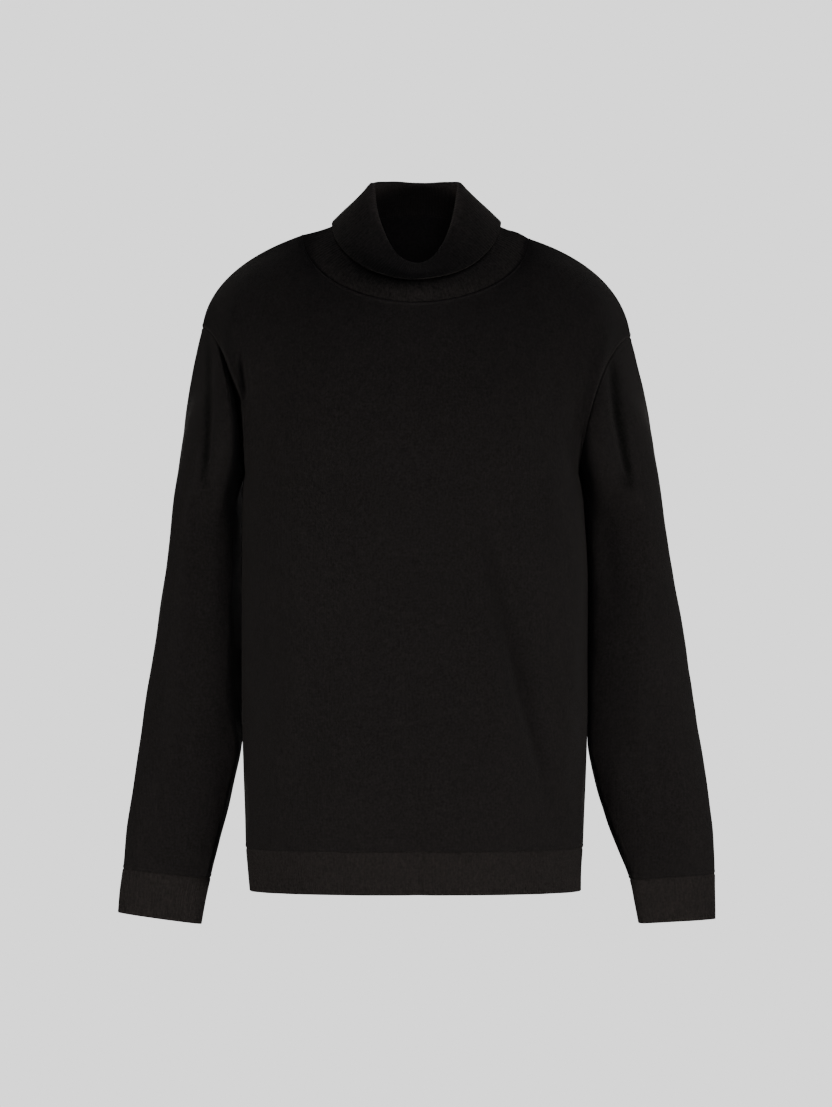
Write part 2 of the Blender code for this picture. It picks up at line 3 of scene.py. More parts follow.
import bpy
import numpy as np
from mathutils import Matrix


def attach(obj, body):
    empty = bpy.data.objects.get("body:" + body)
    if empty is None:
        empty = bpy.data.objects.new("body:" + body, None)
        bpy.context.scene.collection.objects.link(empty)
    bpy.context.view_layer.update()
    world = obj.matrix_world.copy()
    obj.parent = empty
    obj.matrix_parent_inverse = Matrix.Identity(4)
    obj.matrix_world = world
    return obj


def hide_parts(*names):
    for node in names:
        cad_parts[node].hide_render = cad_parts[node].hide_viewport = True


# Lengths in the dictionaries are millimetres. +X is the wearer's left, -Y the front.

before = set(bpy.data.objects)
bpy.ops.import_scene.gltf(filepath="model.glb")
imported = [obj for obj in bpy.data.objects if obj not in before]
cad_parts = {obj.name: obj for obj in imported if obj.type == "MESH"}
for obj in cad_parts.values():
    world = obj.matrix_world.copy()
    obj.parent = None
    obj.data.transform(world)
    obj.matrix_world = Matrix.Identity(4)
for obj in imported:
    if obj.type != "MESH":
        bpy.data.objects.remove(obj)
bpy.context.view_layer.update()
bpy.ops.object.select_all(action="DESELECT")
print("frame loaded with", len(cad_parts), "solids")


# smooth reading of a table whose first column is the key
def readTable(table, at):
    rows = np.array(sorted(table), float)
    return readCurve(rows[:, 0], rows[:, 1:], at)


def readCurve(keys, values, at):
    extra = [1] * (values.ndim - 1)
    slopes = np.diff(values, axis=0) / np.diff(keys).reshape(-1, *extra)
    inner = (values[2:] - values[:-2]) / (keys[2:] - keys[:-2]).reshape(-1, *extra)
    slopes = np.concatenate([slopes[:1], inner, slopes[-1:]])
    at = np.asarray(at, float)
    index = np.clip(np.searchsorted(keys, at) - 1, 0, len(keys) - 2)
    span = keys[index + 1] - keys[index]
    share = np.clip((at - keys[index]) / span, 0, 1)
    span, share = span.reshape(*at.shape, *extra), share.reshape(*at.shape, *extra)
    return (
        values[index] * (2 * share**3 - 3 * share**2 + 1)
        + slopes[index] * span * (share**3 - 2 * share**2 + share)
        + values[index + 1] * (3 * share**2 - 2 * share**3)
        + slopes[index + 1] * span * (share**3 - share**2)
    )


def bezier(start, leave, arrive, end, share):
    rest = 1 - share
    return (
        start * rest**3
        + leave * 3 * rest**2 * share
        + arrive * 3 * rest * share**2
        + end * share**3
    )


def bell(value, width):
    return np.exp(-((value / width) ** 2))


def ramp(value, length):
    return np.clip(value / length, 0, 1)


def signedPower(value, exponent):
    return np.sign(value) * np.abs(value) ** exponent


def points(x, y, z):
    return np.stack(np.broadcast_arrays(x, y, z), -1).astype(float)


def unit(vectors):
    return vectors / np.maximum(np.linalg.norm(vectors, axis=-1, keepdims=True), 1e-9)


cloth = dict(
    thickness=1.8,
    cell=3.1,  # mesh spacing
    closeRows=(0, 0.5, 1.1, 1.9, 3, 4.4, 6, 7.8, 9.8, 12.2),  # beside a seam
    seamY=6,  # shoulder seams, side seams and underarms lie in this plane
    grooveDepth=0.4,  # where two pieces are linked together
    grooveWidth=0.65,
    ridgeHeight=0.55,  # the linked edge stands up a little beside the groove
    ridgePlace=2.6,
    ridgeWidth=1.2,
    bandRidge=0.7,  # share of the ridge that shows above a hem or cuff
    yarnPlace=1.7,  # the linking yarn beside a seam
    yarnWidth=1.15,
    edgeRadius=1,  # rounding of a free edge
    edgeLeast=0.12,
    ripple=0.32,  # uneven lie of the knit
    waves=((140, 1.3), (83, 0.9), (47, 0.55), (29, 0.3)),  # length and size
    settle=30,  # how far below a seam the ripples are at their full height
    settleSide=25,  # and beside one
)


# shares from 0 to 1 along a length, close together at its ends and even between them
def spread(length, cell, start=cloth["closeRows"], end=cloth["closeRows"]):
    first, last = np.array(start) / length, 1 - np.array(end[::-1]) / length
    count = max(2, int(round((last[0] - first[-1]) * length / cell)) + 1)
    return np.concatenate([first, np.linspace(first[-1], last[0], count)[1:-1], last])


panels = dict(
    # level, right and left end, front and back depth, front and back squareness
    levels=[
        (-250, 182, 173.5, 124, 101, 2.62, 2.3), (-300, 182.6, 177, 124, 99, 2.66, 2.28),
        (-350, 182.9, 180, 121, 94, 2.6, 2.18), (-420, 183, 180.2, 118, 89, 2.48, 2.1),
        (-500, 182.5, 180, 116, 91, 2.35, 2.15), (-560, 181, 178.4, 114, 95, 2.3, 2.2),
        (-605, 179.4, 176.6, 112, 98, 2.25, 2.2), (-643, 178.4, 175, 110, 99, 2.25, 2.2),
        (-665, 176.6, 173.4, 108, 98, 2.25, 2.2), (-688, 174.5, 173, 107, 97, 2.25, 2.2),
    ],
    underarm=-250,
    hemSeam=-643,
    hemHeight=45,
    width=477,  # of the front or the back, round the body
    yokeHeight=235,
    bend=(34, 1.5, 70),  # softening where the yoke ends: blur, strength, reach
    cornerBlur=0.032,  # softening below the corner of neck and shoulder
    tuck=1.5,  # the body is drawn in at the underarm
    tuckHeight=9,
    neckHalfWidth=119,
    neckSides=(1, -3),
    neckFront=(-90, -73),
    neckBack=(78, 26),
    neckBackLate=2,  # the back neck stays high near the shoulders
    neckRidge=2.2,  # the linked edge stands higher at the neck
    shoulderSeamHighlight=0.35,  # and the linking yarn's painted highlight is weaker on the shoulders
    foldHides=4,  # a fold this deep hides most of the seam in it
    foldSide=8,  # how far past the side seams' plane a fold still reaches
    # shoulder seam from the sleeve to the neck, in x and z: tip and two middle points
    shoulders={
        -1: ((225, -96), (217, -42), (160, -13)),
        1: ((226, -106), (218, -46), (160, -16)),
    },
    # middle points of each half armhole, by side and face
    armholes={
        (-1, -1): ((186, -81, -112), (184, -86, -236)),
        (1, -1): ((189, -81, -120), (168, -86, -236)),
        (-1, 1): ((204, 76, -110), (172, 84, -236)),
        (1, 1): ((204, 76, -118), (166, 84, -236)),
    },
    # the way the cloth faces along an armhole seam, from the shoulder to the underarm
    seamFacing=[
        (0, 0.97, 0, 0.25), (0.25, 0.82, -0.56, 0.15), (0.5, 0.53, -0.84, -0.1),
        (0.75, 0.14, -0.9, -0.42), (1, 0, 0, -1),
    ],
    # folds along the armholes: share of the way from the shoulder down, depth, width on
    # the panel and on the sleeve
    armholeFolds={
        (-1, -1): [
            (0, 0, 2, 2), (0.16, 0, 2, 2), (0.22, 3, 2.2, 2.2), (0.3, 12, 3.4, 3.4),
            (0.4, 30, 5, 4.4), (0.5, 48, 8, 4.8), (0.6, 60, 6.2, 5.2), (0.75, 53, 4, 7.5),
            (0.85, 38, 3, 9.5), (0.93, 21, 2.5, 11), (1, 6, 2, 12),
        ],
        (1, -1): [
            (0, 0, 5, 5), (0.5, 0, 5, 5), (0.66, 1, 6, 6), (0.8, 2, 6, 6), (0.93, 2, 5, 5),
            (1, 1, 3, 3),
        ],
        (-1, 1): [
            (0, 0, 8, 8), (0.3, 0, 8, 8), (0.5, 7, 9, 9), (0.75, 12, 9, 9), (0.93, 7, 6, 6),
            (1, 1, 4, 4),
        ],
        (1, 1): [
            (0, 0, 8, 8), (0.35, 0, 8, 8), (0.55, 6, 9, 9), (0.75, 12, 9, 9), (0.93, 7, 6, 6),
            (1, 1, 4, 4),
        ],
    },
    # upper body columns from the armhole to the centre: offsets from the top and the foot
    columns={
        -1: [
            (0.035, -20, -88, -15, -3, -75, 30), (0.07, -12, -86, -14, 0, -50, 50),
            (0.125, -4, -82, -15, 3, -26, 80), (0.19, -1, -81, -21, 3, -16, 94),
            (0.25, 2, -80, -31, 3, -12, 98), (0.3125, 3, -56, -35, 2, -7, 94),
            (0.375, 3, -38, -38, 1, -3, 84), (0.5, 0, -21, -52, 0, 0, 62),
        ],
        1: [
            (0.035, -16, 74, -13, -3, 67, 30), (0.07, -10, 73, -13, 0, 50, 50),
            (0.125, -4, 73, -13, 3, 32, 78), (0.19, -1, 75, -14, 3, 24, 96),
            (0.25, 2, 76, -14, 3, 20, 104), (0.3125, 3, 52, -17, 2, 14, 110),
            (0.375, 3, 32, -22, 1, 9, 114), (0.5, 0, 15, -40, 0, 7, 118),
        ],
    },
    # troughs, and ridges where the depth is negative: face, depth, width, points (x, z)
    creases=[
        (-1, 4.6, 15, [(-149, -397), (-160, -438), (-170, -496), (-175, -560)]),
        (-1, 6.4, 18, [(72, -266), (78, -318), (91, -392), (107, -454), (146, -622)]),
        (-1, 4.6, 17, [(-13, -455), (-10, -527), (-5, -600), (2, -652), (2, -690)]),
        (-1, 3.4, 22, [(-60, -376), (-81, -443), (-102, -506), (-118, -595)]),
        (-1, -3.4, 16, [(60, -380), (80, -454), (97, -540)]),
        (1, 3.6, 20, [(-96, -240), (-84, -330), (-90, -430), (-112, -560)]),
        (1, 3.2, 22, [(88, -262), (98, -372), (92, -470), (104, -610)]),
        (1, 3, 24, [(8, -400), (2, -500), (10, -600), (8, -690)]),
        (-1, 6.5, 3.4, [(-183, -124), (-181.5, -146), (-179.5, -164), (-181, -176)]),
        (-1, -1.6, 5, [(166, -139), (169, -165), (172, -200)]),
        (-1, 2, 8, [(-150, -392), (-161, -440), (-171, -498)]),
        (-1, 2.4, 8, [(76, -270), (90, -350), (108, -456), (144, -610)]),
        (-1, -1.6, 7, [(62, -300), (78, -380), (96, -470), (120, -560)]),
        (-1, 2, 7, [(-12, -470), (-9, -540), (-4, -604), (3, -656), (2, -692)]),
        (-1, 0.8, 9, [(40, -560), (44, -620), (41, -688)]),
        (-1, -0.8, 10, [(-52, -600), (-50, -650), (-54, -690)]),
        (-1, 0.8, 10, [(156, -560), (150, -620), (146, -686)]),
        (1, 0.9, 10, [(50, -560), (56, -630), (52, -690)]),
        (1, 0.9, 10, [(-70, -580), (-66, -640), (-70, -690)]),
    ],
)


def bodyPoints(angle, z):  # 0 at the right side, 90 degrees at the front
    level = readTable(panels["levels"], z)
    right, left, front, back, frontPower, backPower = np.moveaxis(level, -1, 0)
    across, along = np.cos(angle), np.sin(angle)
    halfWidth = np.where(across > 0, right, left)
    depth = np.where(along > 0, front, back)
    exponent = 2 / np.where(along > 0, frontPower, backPower)
    tuck = panels["tuck"] * bell(z - panels["underarm"], panels["tuckHeight"]) * across**8
    x = np.sign(across) * tuck - signedPower(across, exponent) * halfWidth
    y = cloth["seamY"] - signedPower(along, exponent) * depth
    return points(x, y, z)


def shoulderPoints(side, share):
    neck = panels["neckHalfWidth"], panels["neckSides"][side > 0]
    places = (*panels["shoulders"][side], neck)
    corners = [np.array((side * x, cloth["seamY"], z)) for x, z in places]
    share = np.asarray(share, float)[..., None]
    here = bezier(*corners, share)
    step = bezier(*corners, share + 0.01) - bezier(*corners, share - 0.01)
    facing = unit(points(-step[..., 2], 0, step[..., 0])) * -side
    return here, facing


def neckPoints(face, angle):  # from right to left
    across, along = np.cos(angle), np.abs(np.sin(angle))
    middleY, middleZ = panels["neckFront"] if face < 0 else panels["neckBack"]
    rightZ, leftZ = panels["neckSides"]
    sideZ = rightZ + (leftZ - rightZ) * (1 - across) / 2
    late = 1 if face < 0 else panels["neckBackLate"]
    here = points(
        -panels["neckHalfWidth"] * across,
        cloth["seamY"] + (middleY - cloth["seamY"]) * along,
        sideZ + (middleZ - sideZ) * along**late,
    )
    lean = (0, -0.93, 0.37) if face < 0 else (0, 0.64, 0.77)
    facing = points(-0.34 * across, 0, 0.94 * np.abs(across)) + np.outer(along, lean)
    return here, unit(facing)


def armholePoints(side, face, share):
    tip, _ = shoulderPoints(side, 0.0)
    underarm = bodyPoints(0.0 if side < 0 else math.pi, panels["underarm"])
    leave, arrive = np.array(panels["armholes"][side, face]) * (side, 1, 1)
    return bezier(tip, leave, arrive, underarm, np.asarray(share, float)[..., None])


# how far each point is from an armhole's seam, along the given axes, and the share of
# the nearest point on it
def fromArmhole(side, face, grid, axes):
    nearest, share = np.full(grid.shape[:2], 1e9), np.zeros(grid.shape[:2])
    steps = np.linspace(0, 1, 161)
    for step, place in zip(steps, armholePoints(side, face, steps)):
        distance = np.linalg.norm((grid - place)[..., axes], axis=-1)
        closer = distance < nearest
        nearest, share = np.where(closer, distance, nearest), np.where(closer, step, share)
    return nearest, share


# the cloth's fold inwards along an armhole, and how much of its seam stays to be seen
def armholeFold(side, face, grid, onSleeve):
    distance, share = fromArmhole(side, face, grid, (0, 2))
    fold = readTable(panels["armholeFolds"][side, face], share)
    width = fold[..., 2] if onSleeve else fold[..., 1]
    depth = fold[..., 0] * np.clip(1 - distance / np.maximum(width, 0.1), 0, 1)
    depth = depth * (grid[..., 1] * face > -panels["foldSide"])
    return points(0, -face * depth, 0), np.exp(-depth / panels["foldHides"])


def armholeFacing(side, face, share):
    way = readTable(panels["seamFacing"], share)
    return unit(way * (side, -face, 1))


# rows run down and columns run to the right, seen from outside
def gridNormals(grid, ring):
    down = np.gradient(grid, axis=0)
    if ring:
        across = np.roll(grid, -1, 1) - np.roll(grid, 1, 1)
    else:
        across = np.gradient(grid, axis=1)
    return unit(np.cross(down, across))


def runLengths(grid, axis):
    steps = np.linalg.norm(np.diff(grid, axis=axis), axis=-1)
    start = np.zeros_like(np.take(steps, [0], axis))
    return np.concatenate([start, np.cumsum(steps, axis)], axis)


def creaseDepth(creases, grid, normals):
    depth = np.zeros(grid.shape[:2])
    place = grid[..., (0, 2)]
    for face, deep, width, path in creases:
        path = np.array(path, float)
        steps = np.linspace(0, len(path) - 1, 6 * len(path))
        fine = readCurve(np.arange(len(path)), path, steps)
        nearest = np.full(depth.shape, 1e9)
        along = np.zeros(depth.shape)
        for index, (start, end) in enumerate(zip(fine, fine[1:])):
            leg = end - start
            share = np.clip(((place - start) @ leg) / (leg @ leg), 0, 1)
            distance = np.linalg.norm(place - start - share[..., None] * leg, axis=-1)
            closer = distance < nearest
            nearest = np.where(closer, distance, nearest)
            along = np.where(closer, (index + share) / (len(fine) - 1), along)
        # shallower towards both ends
        taper = np.minimum(1, np.minimum((0.12 + along) / 0.4, (1.35 - along) / 0.5))
        faces = np.clip(normals[..., 1] * face, 0, 1)
        depth += deep * taper * faces * bell(nearest, width)
    return depth


# a gentle unevenness, turned and shifted by the seed so that it differs on every piece
def ripples(across, down, seed):
    wave = 0
    for turn, (length, size) in enumerate(cloth["waves"]):
        angle = seed * 1.7 + turn * 1.1
        run = across * math.cos(angle) * 1.6 + down * math.sin(angle) * 0.8
        bend = 0.8 * np.sin(down / (length * 0.9) + seed + turn)
        wave = wave + size * np.sin(run * math.tau / length + bend + seed * 2.3 + turn)
    return wave * cloth["ripple"]


# creases and ripples pressed into a surface, and its normals before them
def crumple(grid, ring, creases, place, seed, hold):
    normals = gridNormals(grid, ring)
    depth = creaseDepth(creases, grid, normals)
    depth = depth + ripples(place, grid[..., 2], seed) * hold
    return grid - normals * depth[..., None], normals


def seamProfile(distance, ridge=1.0):
    groove = cloth["grooveDepth"] * bell(distance, cloth["grooveWidth"])
    stands = cloth["ridgeHeight"] * bell(distance - cloth["ridgePlace"], cloth["ridgeWidth"])
    return groove - ridge * stands


# where the linking yarn lies, beside a seam; the material lightens it there, a painted
# highlight on the raised seam
def linkedMask(distance):
    return bell(distance - cloth["yarnPlace"], cloth["yarnWidth"])


def edgeRound(distance):
    inside = ramp(distance, cloth["edgeRadius"])
    return np.maximum(np.sqrt(1 - (1 - inside) ** 2), cloth["edgeLeast"])


# one closed sheet of cloth round a middle surface, with its own UV map in decimetres,
# which has one more column than the cloth on a ring, so that its last face is whole
def clothObject(name, middle, normals, half, across, down, ring, material, seamYarnAndPaintedShading=0.0):
    half = np.broadcast_to(half, middle.shape[:2])[..., None]
    outer, inner = middle + normals * half, middle - normals * half
    corners = np.concatenate([outer.reshape(-1, 3), inner.reshape(-1, 3)])
    index = np.arange(len(corners) // 2).reshape(middle.shape[:2])
    right = np.roll(index, -1, 1) if ring else index[:, 1:]
    left = index if ring else index[:, :-1]
    sheet = np.stack([left[:-1], left[1:], right[1:], right[:-1]], -1).reshape(-1, 4)
    other = index.size
    lower = np.stack([left[-1], left[-1] + other, right[-1] + other, right[-1]], -1)
    upper = np.stack([left[0], right[0], right[0] + other, left[0] + other], -1)
    faces = [sheet, sheet[:, ::-1] + other, lower, upper]
    places = np.stack([across, down], -1)
    cells = [places[:-1, :-1], places[1:, :-1], places[1:, 1:], places[:-1, 1:]]
    cells = np.stack(cells, -2)
    flat = cells.reshape(-1, 4, 2)
    maps = [flat, flat[:, ::-1], cells[-1][:, (1, 1, 2, 2)], cells[0][:, (0, 3, 3, 0)]]
    if not ring:
        first, last = index[:, 0], index[:, -1]
        right = [first[:-1], first[:-1] + other, first[1:] + other, first[1:]]
        left = [last[:-1], last[1:], last[1:] + other, last[:-1] + other]
        faces += [np.stack(right, -1), np.stack(left, -1)]
        maps += [cells[:, 0][:, (0, 0, 1, 1)], cells[:, -1][:, (3, 2, 2, 3)]]
    faces, maps = np.concatenate(faces), np.concatenate(maps)
    mesh = bpy.data.meshes.new(name)
    mesh.from_pydata(corners * 0.001, [], faces)
    mesh.uv_layers.new(name="cut").data.foreach_set("uv", (maps * 0.01).ravel())
    # per point: the linking yarn's painted highlight, and painted shade and light
    mask = mesh.attributes.new("seamYarnAndPaintedShading", "FLOAT", "POINT")
    mask.data.foreach_set("value", np.tile(np.broadcast_to(seamYarnAndPaintedShading, index.shape).ravel(), 2))
    mesh.validate()
    mesh.shade_smooth()
    mesh.materials.append(material)
    made = bpy.data.objects.new(name, mesh)
    bpy.context.scene.collection.objects.link(made)
    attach(made, "root")
    return made


# ---- materials

knit = dict(
    # stitches in a decimetre across and down, relief, darker and lighter yarn; a rib's UV
    # map already counts its stitches
    jersey=(100 / 1.95, 100 / 1.45, 0.32, (0.008, 0.007, 0.0076), (0.0147, 0.0127, 0.0137)),
    rib=(1, 100 / 1.5, 0.28, (0.0134, 0.0115, 0.0119), (0.0244, 0.0209, 0.0212)),
    waleWidth=1.95,
    slant=0.9,  # of the legs of a stitch
    fuzz=0.35,  # height of the fibres beside that of a stitch
    bump=0.8,
    roughness=(0.16, 0.76),  # what the fibres add, and the least
    surface={
        "Metallic": 0,
        "Specular IOR Level": 0.22,
        "Sheen Weight": 0.055,
        "Sheen Roughness": 0.42,
        "Sheen Tint": (0.95, 0.93, 0.92, 1),
    },
    # scale, detail and share in the tone
    patches=(14, 3, 0.5),
    fibre=(900, 2, 0.6),
    grain=(420, 2, 2.9),
    streaks=(1, 3, 1.6),
    streakStretch=(48, 13, 1),
    stitchTone=0.3,
    # how strongly the sheets' attribute lightens or darkens: the dotted linking yarn is a
    # painted highlight on the raised seams, and painted shade and light darken creases and the
    # collar
    seamYarnAndShadingTone=3,
    dots=(2300, 1400, 1900),  # the linking yarn shows as a row of dots
    dotTone=(0.35, 0.65),
    middleTone=-2.45,
)


def setInputs(node, values):
    for name, value in values.items():
        node.inputs[name].default_value = value


def nodeMaths(tree, operation, *values):
    node = tree.nodes.new("ShaderNodeMath")
    node.operation = operation
    for socket, value in zip(node.inputs, values):
        if isinstance(value, (int, float)):
            socket.default_value = value
        else:
            tree.links.new(value, socket)
    return node.outputs[0]


def nodeVector(tree, operation, source, vector=(0, 0, 0)):
    node = tree.nodes.new("ShaderNodeVectorMath")
    node.operation = operation
    tree.links.new(source, node.inputs[0])
    node.inputs[1].default_value = vector
    return node.outputs["Vector" if operation == "MULTIPLY" else "Value"]


def nodeNoise(tree, place, scale, detail):
    noise = tree.nodes.new("ShaderNodeTexNoise")
    setInputs(noise, dict(Scale=scale, Detail=detail))
    tree.links.new(place, noise.inputs["Vector"])
    return noise.outputs["Fac"]


# a node group with sockets of the given kinds
def newGroup(name, inputs, outputs):
    tree = bpy.data.node_groups.new(name, "ShaderNodeTree")
    for way, sockets in (("INPUT", inputs), ("OUTPUT", outputs)):
        for socket, kind in sockets.items():
            tree.interface.new_socket(socket, in_out=way, socket_type="NodeSocket" + kind)
    given = tree.nodes.new("NodeGroupInput").outputs
    return tree, given, tree.nodes.new("NodeGroupOutput").inputs


# loops of knitting: pairs of slanted legs in columns
def makeStitchGroup():
    inputs, outputs = dict(Across="Float", Down="Float"), dict(Height="Float", Leg="Float")
    tree, given, result = newGroup("knitStitch", inputs, outputs)
    place = nodeMaths(tree, "SUBTRACT", nodeMaths(tree, "FRACT", given["Across"]), 0.5)
    away = nodeMaths(tree, "ABSOLUTE", place)
    fromLeg = nodeMaths(tree, "MULTIPLY", nodeMaths(tree, "SUBTRACT", away, 0.25), 4.0)
    leg = nodeMaths(tree, "SUBTRACT", 1.0, nodeMaths(tree, "MULTIPLY", fromLeg, fromLeg))
    lean = nodeMaths(tree, "MULTIPLY", away, knit["slant"])
    rise = nodeMaths(tree, "SUBTRACT", given["Down"], lean)
    turn = nodeMaths(tree, "SINE", nodeMaths(tree, "MULTIPLY", rise, math.tau))
    loop = nodeMaths(tree, "MULTIPLY_ADD", turn, 0.32, 0.68)
    tree.links.new(nodeMaths(tree, "MULTIPLY", leg, loop), result["Height"])
    tree.links.new(leg, result["Leg"])
    return tree


# soft uneven tone and roughness of brushed wool yarn, plus the painted highlight of the linking
# yarn and the painted shade and light that a sheet carries
def makeYarnGroup():
    inputs = dict(Surface="Vector", Cut="Vector", Stitch="Float", SeamYarnAndPaintedShading="Float")
    inputs.update(Dark="Color", Light="Color")
    outputs = dict(Colour="Color", Roughness="Float", Fuzz="Float")
    tree, given, result = newGroup("yarnTone", inputs, outputs)
    link, surface = tree.links.new, given["Surface"]
    stretched = nodeVector(tree, "MULTIPLY", given["Cut"], knit["streakStretch"])
    noises, share = {}, knit["middleTone"]
    for name in ("patches", "fibre", "grain", "streaks"):
        scale, detail, tone = knit[name]
        place = stretched if name == "streaks" else surface
        noises[name] = nodeNoise(tree, place, scale, detail)
        share = nodeMaths(tree, "MULTIPLY_ADD", noises[name], tone, share)
    wave = nodeMaths(tree, "SINE", nodeVector(tree, "DOT_PRODUCT", surface, knit["dots"]))
    dots = nodeMaths(tree, "MULTIPLY_ADD", wave, *knit["dotTone"])
    # the sheet's attribute: positive values lighten in a row of dots (the linking yarn's
    # painted highlight and the collar's painted light); negative values darken evenly (painted
    # shade)
    light = nodeMaths(tree, "MAXIMUM", given["SeamYarnAndPaintedShading"], 0.0)
    dark = nodeMaths(tree, "MINIMUM", given["SeamYarnAndPaintedShading"], 0.0)
    seamYarnAndPaintedShading = nodeMaths(tree, "MULTIPLY_ADD", light, dots, dark)
    share = nodeMaths(tree, "MULTIPLY_ADD", given["Stitch"], knit["stitchTone"], share)
    share = nodeMaths(tree, "MULTIPLY_ADD", seamYarnAndPaintedShading, knit["seamYarnAndShadingTone"], share)
    blend = tree.nodes.new("ShaderNodeMix")
    blend.data_type = "RGBA"
    blend.clamp_factor = False
    link(share, blend.inputs["Factor"])
    link(given["Dark"], blend.inputs["A"])
    link(given["Light"], blend.inputs["B"])
    link(blend.outputs["Result"], result["Colour"])
    fibre, streaks = noises["fibre"], noises["streaks"]
    rough = nodeMaths(tree, "MULTIPLY_ADD", fibre, *knit["roughness"])
    link(rough, result["Roughness"])
    fuzz = nodeMaths(tree, "MULTIPLY_ADD", streaks, knit["streaks"][2], fibre)
    link(fuzz, result["Fuzz"])
    return tree


stitchGroup, yarnGroup = makeStitchGroup(), makeYarnGroup()


def knitMaterial(name, across, down, relief, dark, light):
    material = bpy.data.materials.new(name)
    material.use_nodes = True
    tree = material.node_tree
    link = tree.links.new
    shader = tree.nodes["Principled BSDF"]
    setInputs(shader, knit["surface"])
    cut = tree.nodes.new("ShaderNodeUVMap")
    cut.uv_map = "cut"
    counted = nodeVector(tree, "MULTIPLY", cut.outputs["UV"], (across, down, 1))
    stretch = (across * knit["waleWidth"] / 100, 1, 1)
    even = nodeVector(tree, "MULTIPLY", cut.outputs["UV"], stretch)
    split = tree.nodes.new("ShaderNodeSeparateXYZ")
    link(counted, split.inputs["Vector"])
    stitch = tree.nodes.new("ShaderNodeGroup")
    stitch.node_tree = stitchGroup
    link(split.outputs["X"], stitch.inputs["Across"])
    link(split.outputs["Y"], stitch.inputs["Down"])
    place = tree.nodes.new("ShaderNodeTexCoord")
    # the attribute with the linking yarn's painted highlight and painted shade and light
    seamYarnAndPaintedShading = tree.nodes.new("ShaderNodeAttribute")
    seamYarnAndPaintedShading.attribute_name = "seamYarnAndPaintedShading"
    yarn = tree.nodes.new("ShaderNodeGroup")
    yarn.node_tree = yarnGroup
    setInputs(yarn, dict(Dark=(*dark, 1), Light=(*light, 1)))
    link(place.outputs["Object"], yarn.inputs["Surface"])
    link(stitch.outputs["Leg"], yarn.inputs["Stitch"])
    link(even, yarn.inputs["Cut"])
    link(seamYarnAndPaintedShading.outputs["Fac"], yarn.inputs["SeamYarnAndPaintedShading"])
    link(yarn.outputs["Colour"], shader.inputs["Base Color"])
    link(yarn.outputs["Roughness"], shader.inputs["Roughness"])
    height = stitch.outputs["Height"]
    height = nodeMaths(tree, "MULTIPLY_ADD", yarn.outputs["Fuzz"], knit["fuzz"], height)
    bump = tree.nodes.new("ShaderNodeBump")
    setInputs(bump, dict(Strength=knit["bump"], Distance=relief * 0.001))
    link(height, bump.inputs["Height"])
    link(bump.outputs["Normal"], shader.inputs["Normal"])
    return material


jerseyKnit = knitMaterial("jerseyKnit", *knit["jersey"])
ribKnit = knitMaterial("ribKnit", *knit["rib"])
print("knit materials made")


# ---- front, back and their hems

# evens out the bend where an upper part meets the part below it
def easeBend(grid, middle, bend, columnShare=1.0):
    blur, strength, reach = bend
    place = runLengths(grid, 0).mean(1)
    weights = bell(place[:, None] - place, blur)
    soft = np.einsum("ij,jkc->ikc", weights / weights.sum(1, keepdims=True), grid)
    rowShare = np.clip(strength - np.abs(place - place[middle]) / reach, 0, 1)
    amount = (rowShare[:, None] * columnShare)[..., None]
    return grid * (1 - amount) + soft * amount


# spreads the corner between the shoulder and neck seams over the cloth below it
def softenCorner(grid, shares, middle):
    weights = bell(shares[:, None] - shares, panels["cornerBlur"])
    soft = np.einsum("jk,ikc->ijc", weights / weights.sum(1, keepdims=True), grid)
    down = runLengths(grid, 0)
    low = np.clip(1.6 - down / down[middle], 0, 1)
    edge = ramp(np.minimum(shares, 1 - shares) - 0.1, 0.1)  # not beside the armholes
    amount = ramp(down, 40) * np.minimum(1, 2 * low) * edge  # nor at the neck seam
    return grid + (soft - grid) * amount[..., None]


# the upper body from its seams to the underarm level, and the way its top row faces
def yokeGrid(face, shares, yokeShares):
    side = np.where(shares < 0.5, face, -face)
    mirrored = np.minimum(shares, 1 - shares)
    angle = math.pi * (shares - 0.25) / 0.5
    top, facing = neckPoints(face, angle if face < 0 else math.pi - angle)
    feet = bodyPoints((0 if face < 0 else math.pi) + math.pi * shares, panels["underarm"])
    leave, arrive = np.zeros_like(top), np.zeros_like(top)
    for way in (-1, 1):
        onShoulder = (mirrored < 0.25) & (side == way)
        top[onShoulder], facing[onShoulder] = shoulderPoints(way, mirrored[onShoulder] / 0.25)
        tip, _ = shoulderPoints(way, 0.0)
        underarm = bodyPoints(0.0 if way < 0 else math.pi, panels["underarm"])
        first, second = panels["armholes"][way, face]
        edge = [*(first - tip * (way, 1, 1)), *(second - underarm * (way, 1, 1))]
        mine = side == way
        shape = readTable([(0.0, *edge), *panels["columns"][face]], mirrored[mine])
        leave[mine], arrive[mine] = shape[:, :3] * (way, 1, 1), shape[:, 3:] * (way, 1, 1)
    share = yokeShares[:, None, None]
    return bezier(top, top + leave, feet + arrive, feet, share), facing


def ribProfile(place):  # round ribs with narrow valleys between them
    return np.abs(np.cos(math.pi * place)) ** 0.9


bands = dict(
    ribs=208,  # on the front, and as many on the back
    cuffRibs=90,
    ribSteps=7,
    ribHeight=0.42,
    ribStart=2.5,  # how far below the seam they are at their full height
    thickness=1.5,
    cell=4,
    edgeRows=(0, 0.25, 0.6, 1, 2.2),
)


# a plain knitted piece inside its outer surface, its wales counted from a centre column
def makePlain(name, surface, normals, across, down, centre, ring, seamYarnAndPaintedShading):
    half = cloth["thickness"] / 2
    middle, across = surface - normals * half, across - across[:, centre][:, None]
    return clothObject(name, middle, normals, half, across, down, ring, jerseyKnit, seamYarnAndPaintedShading)


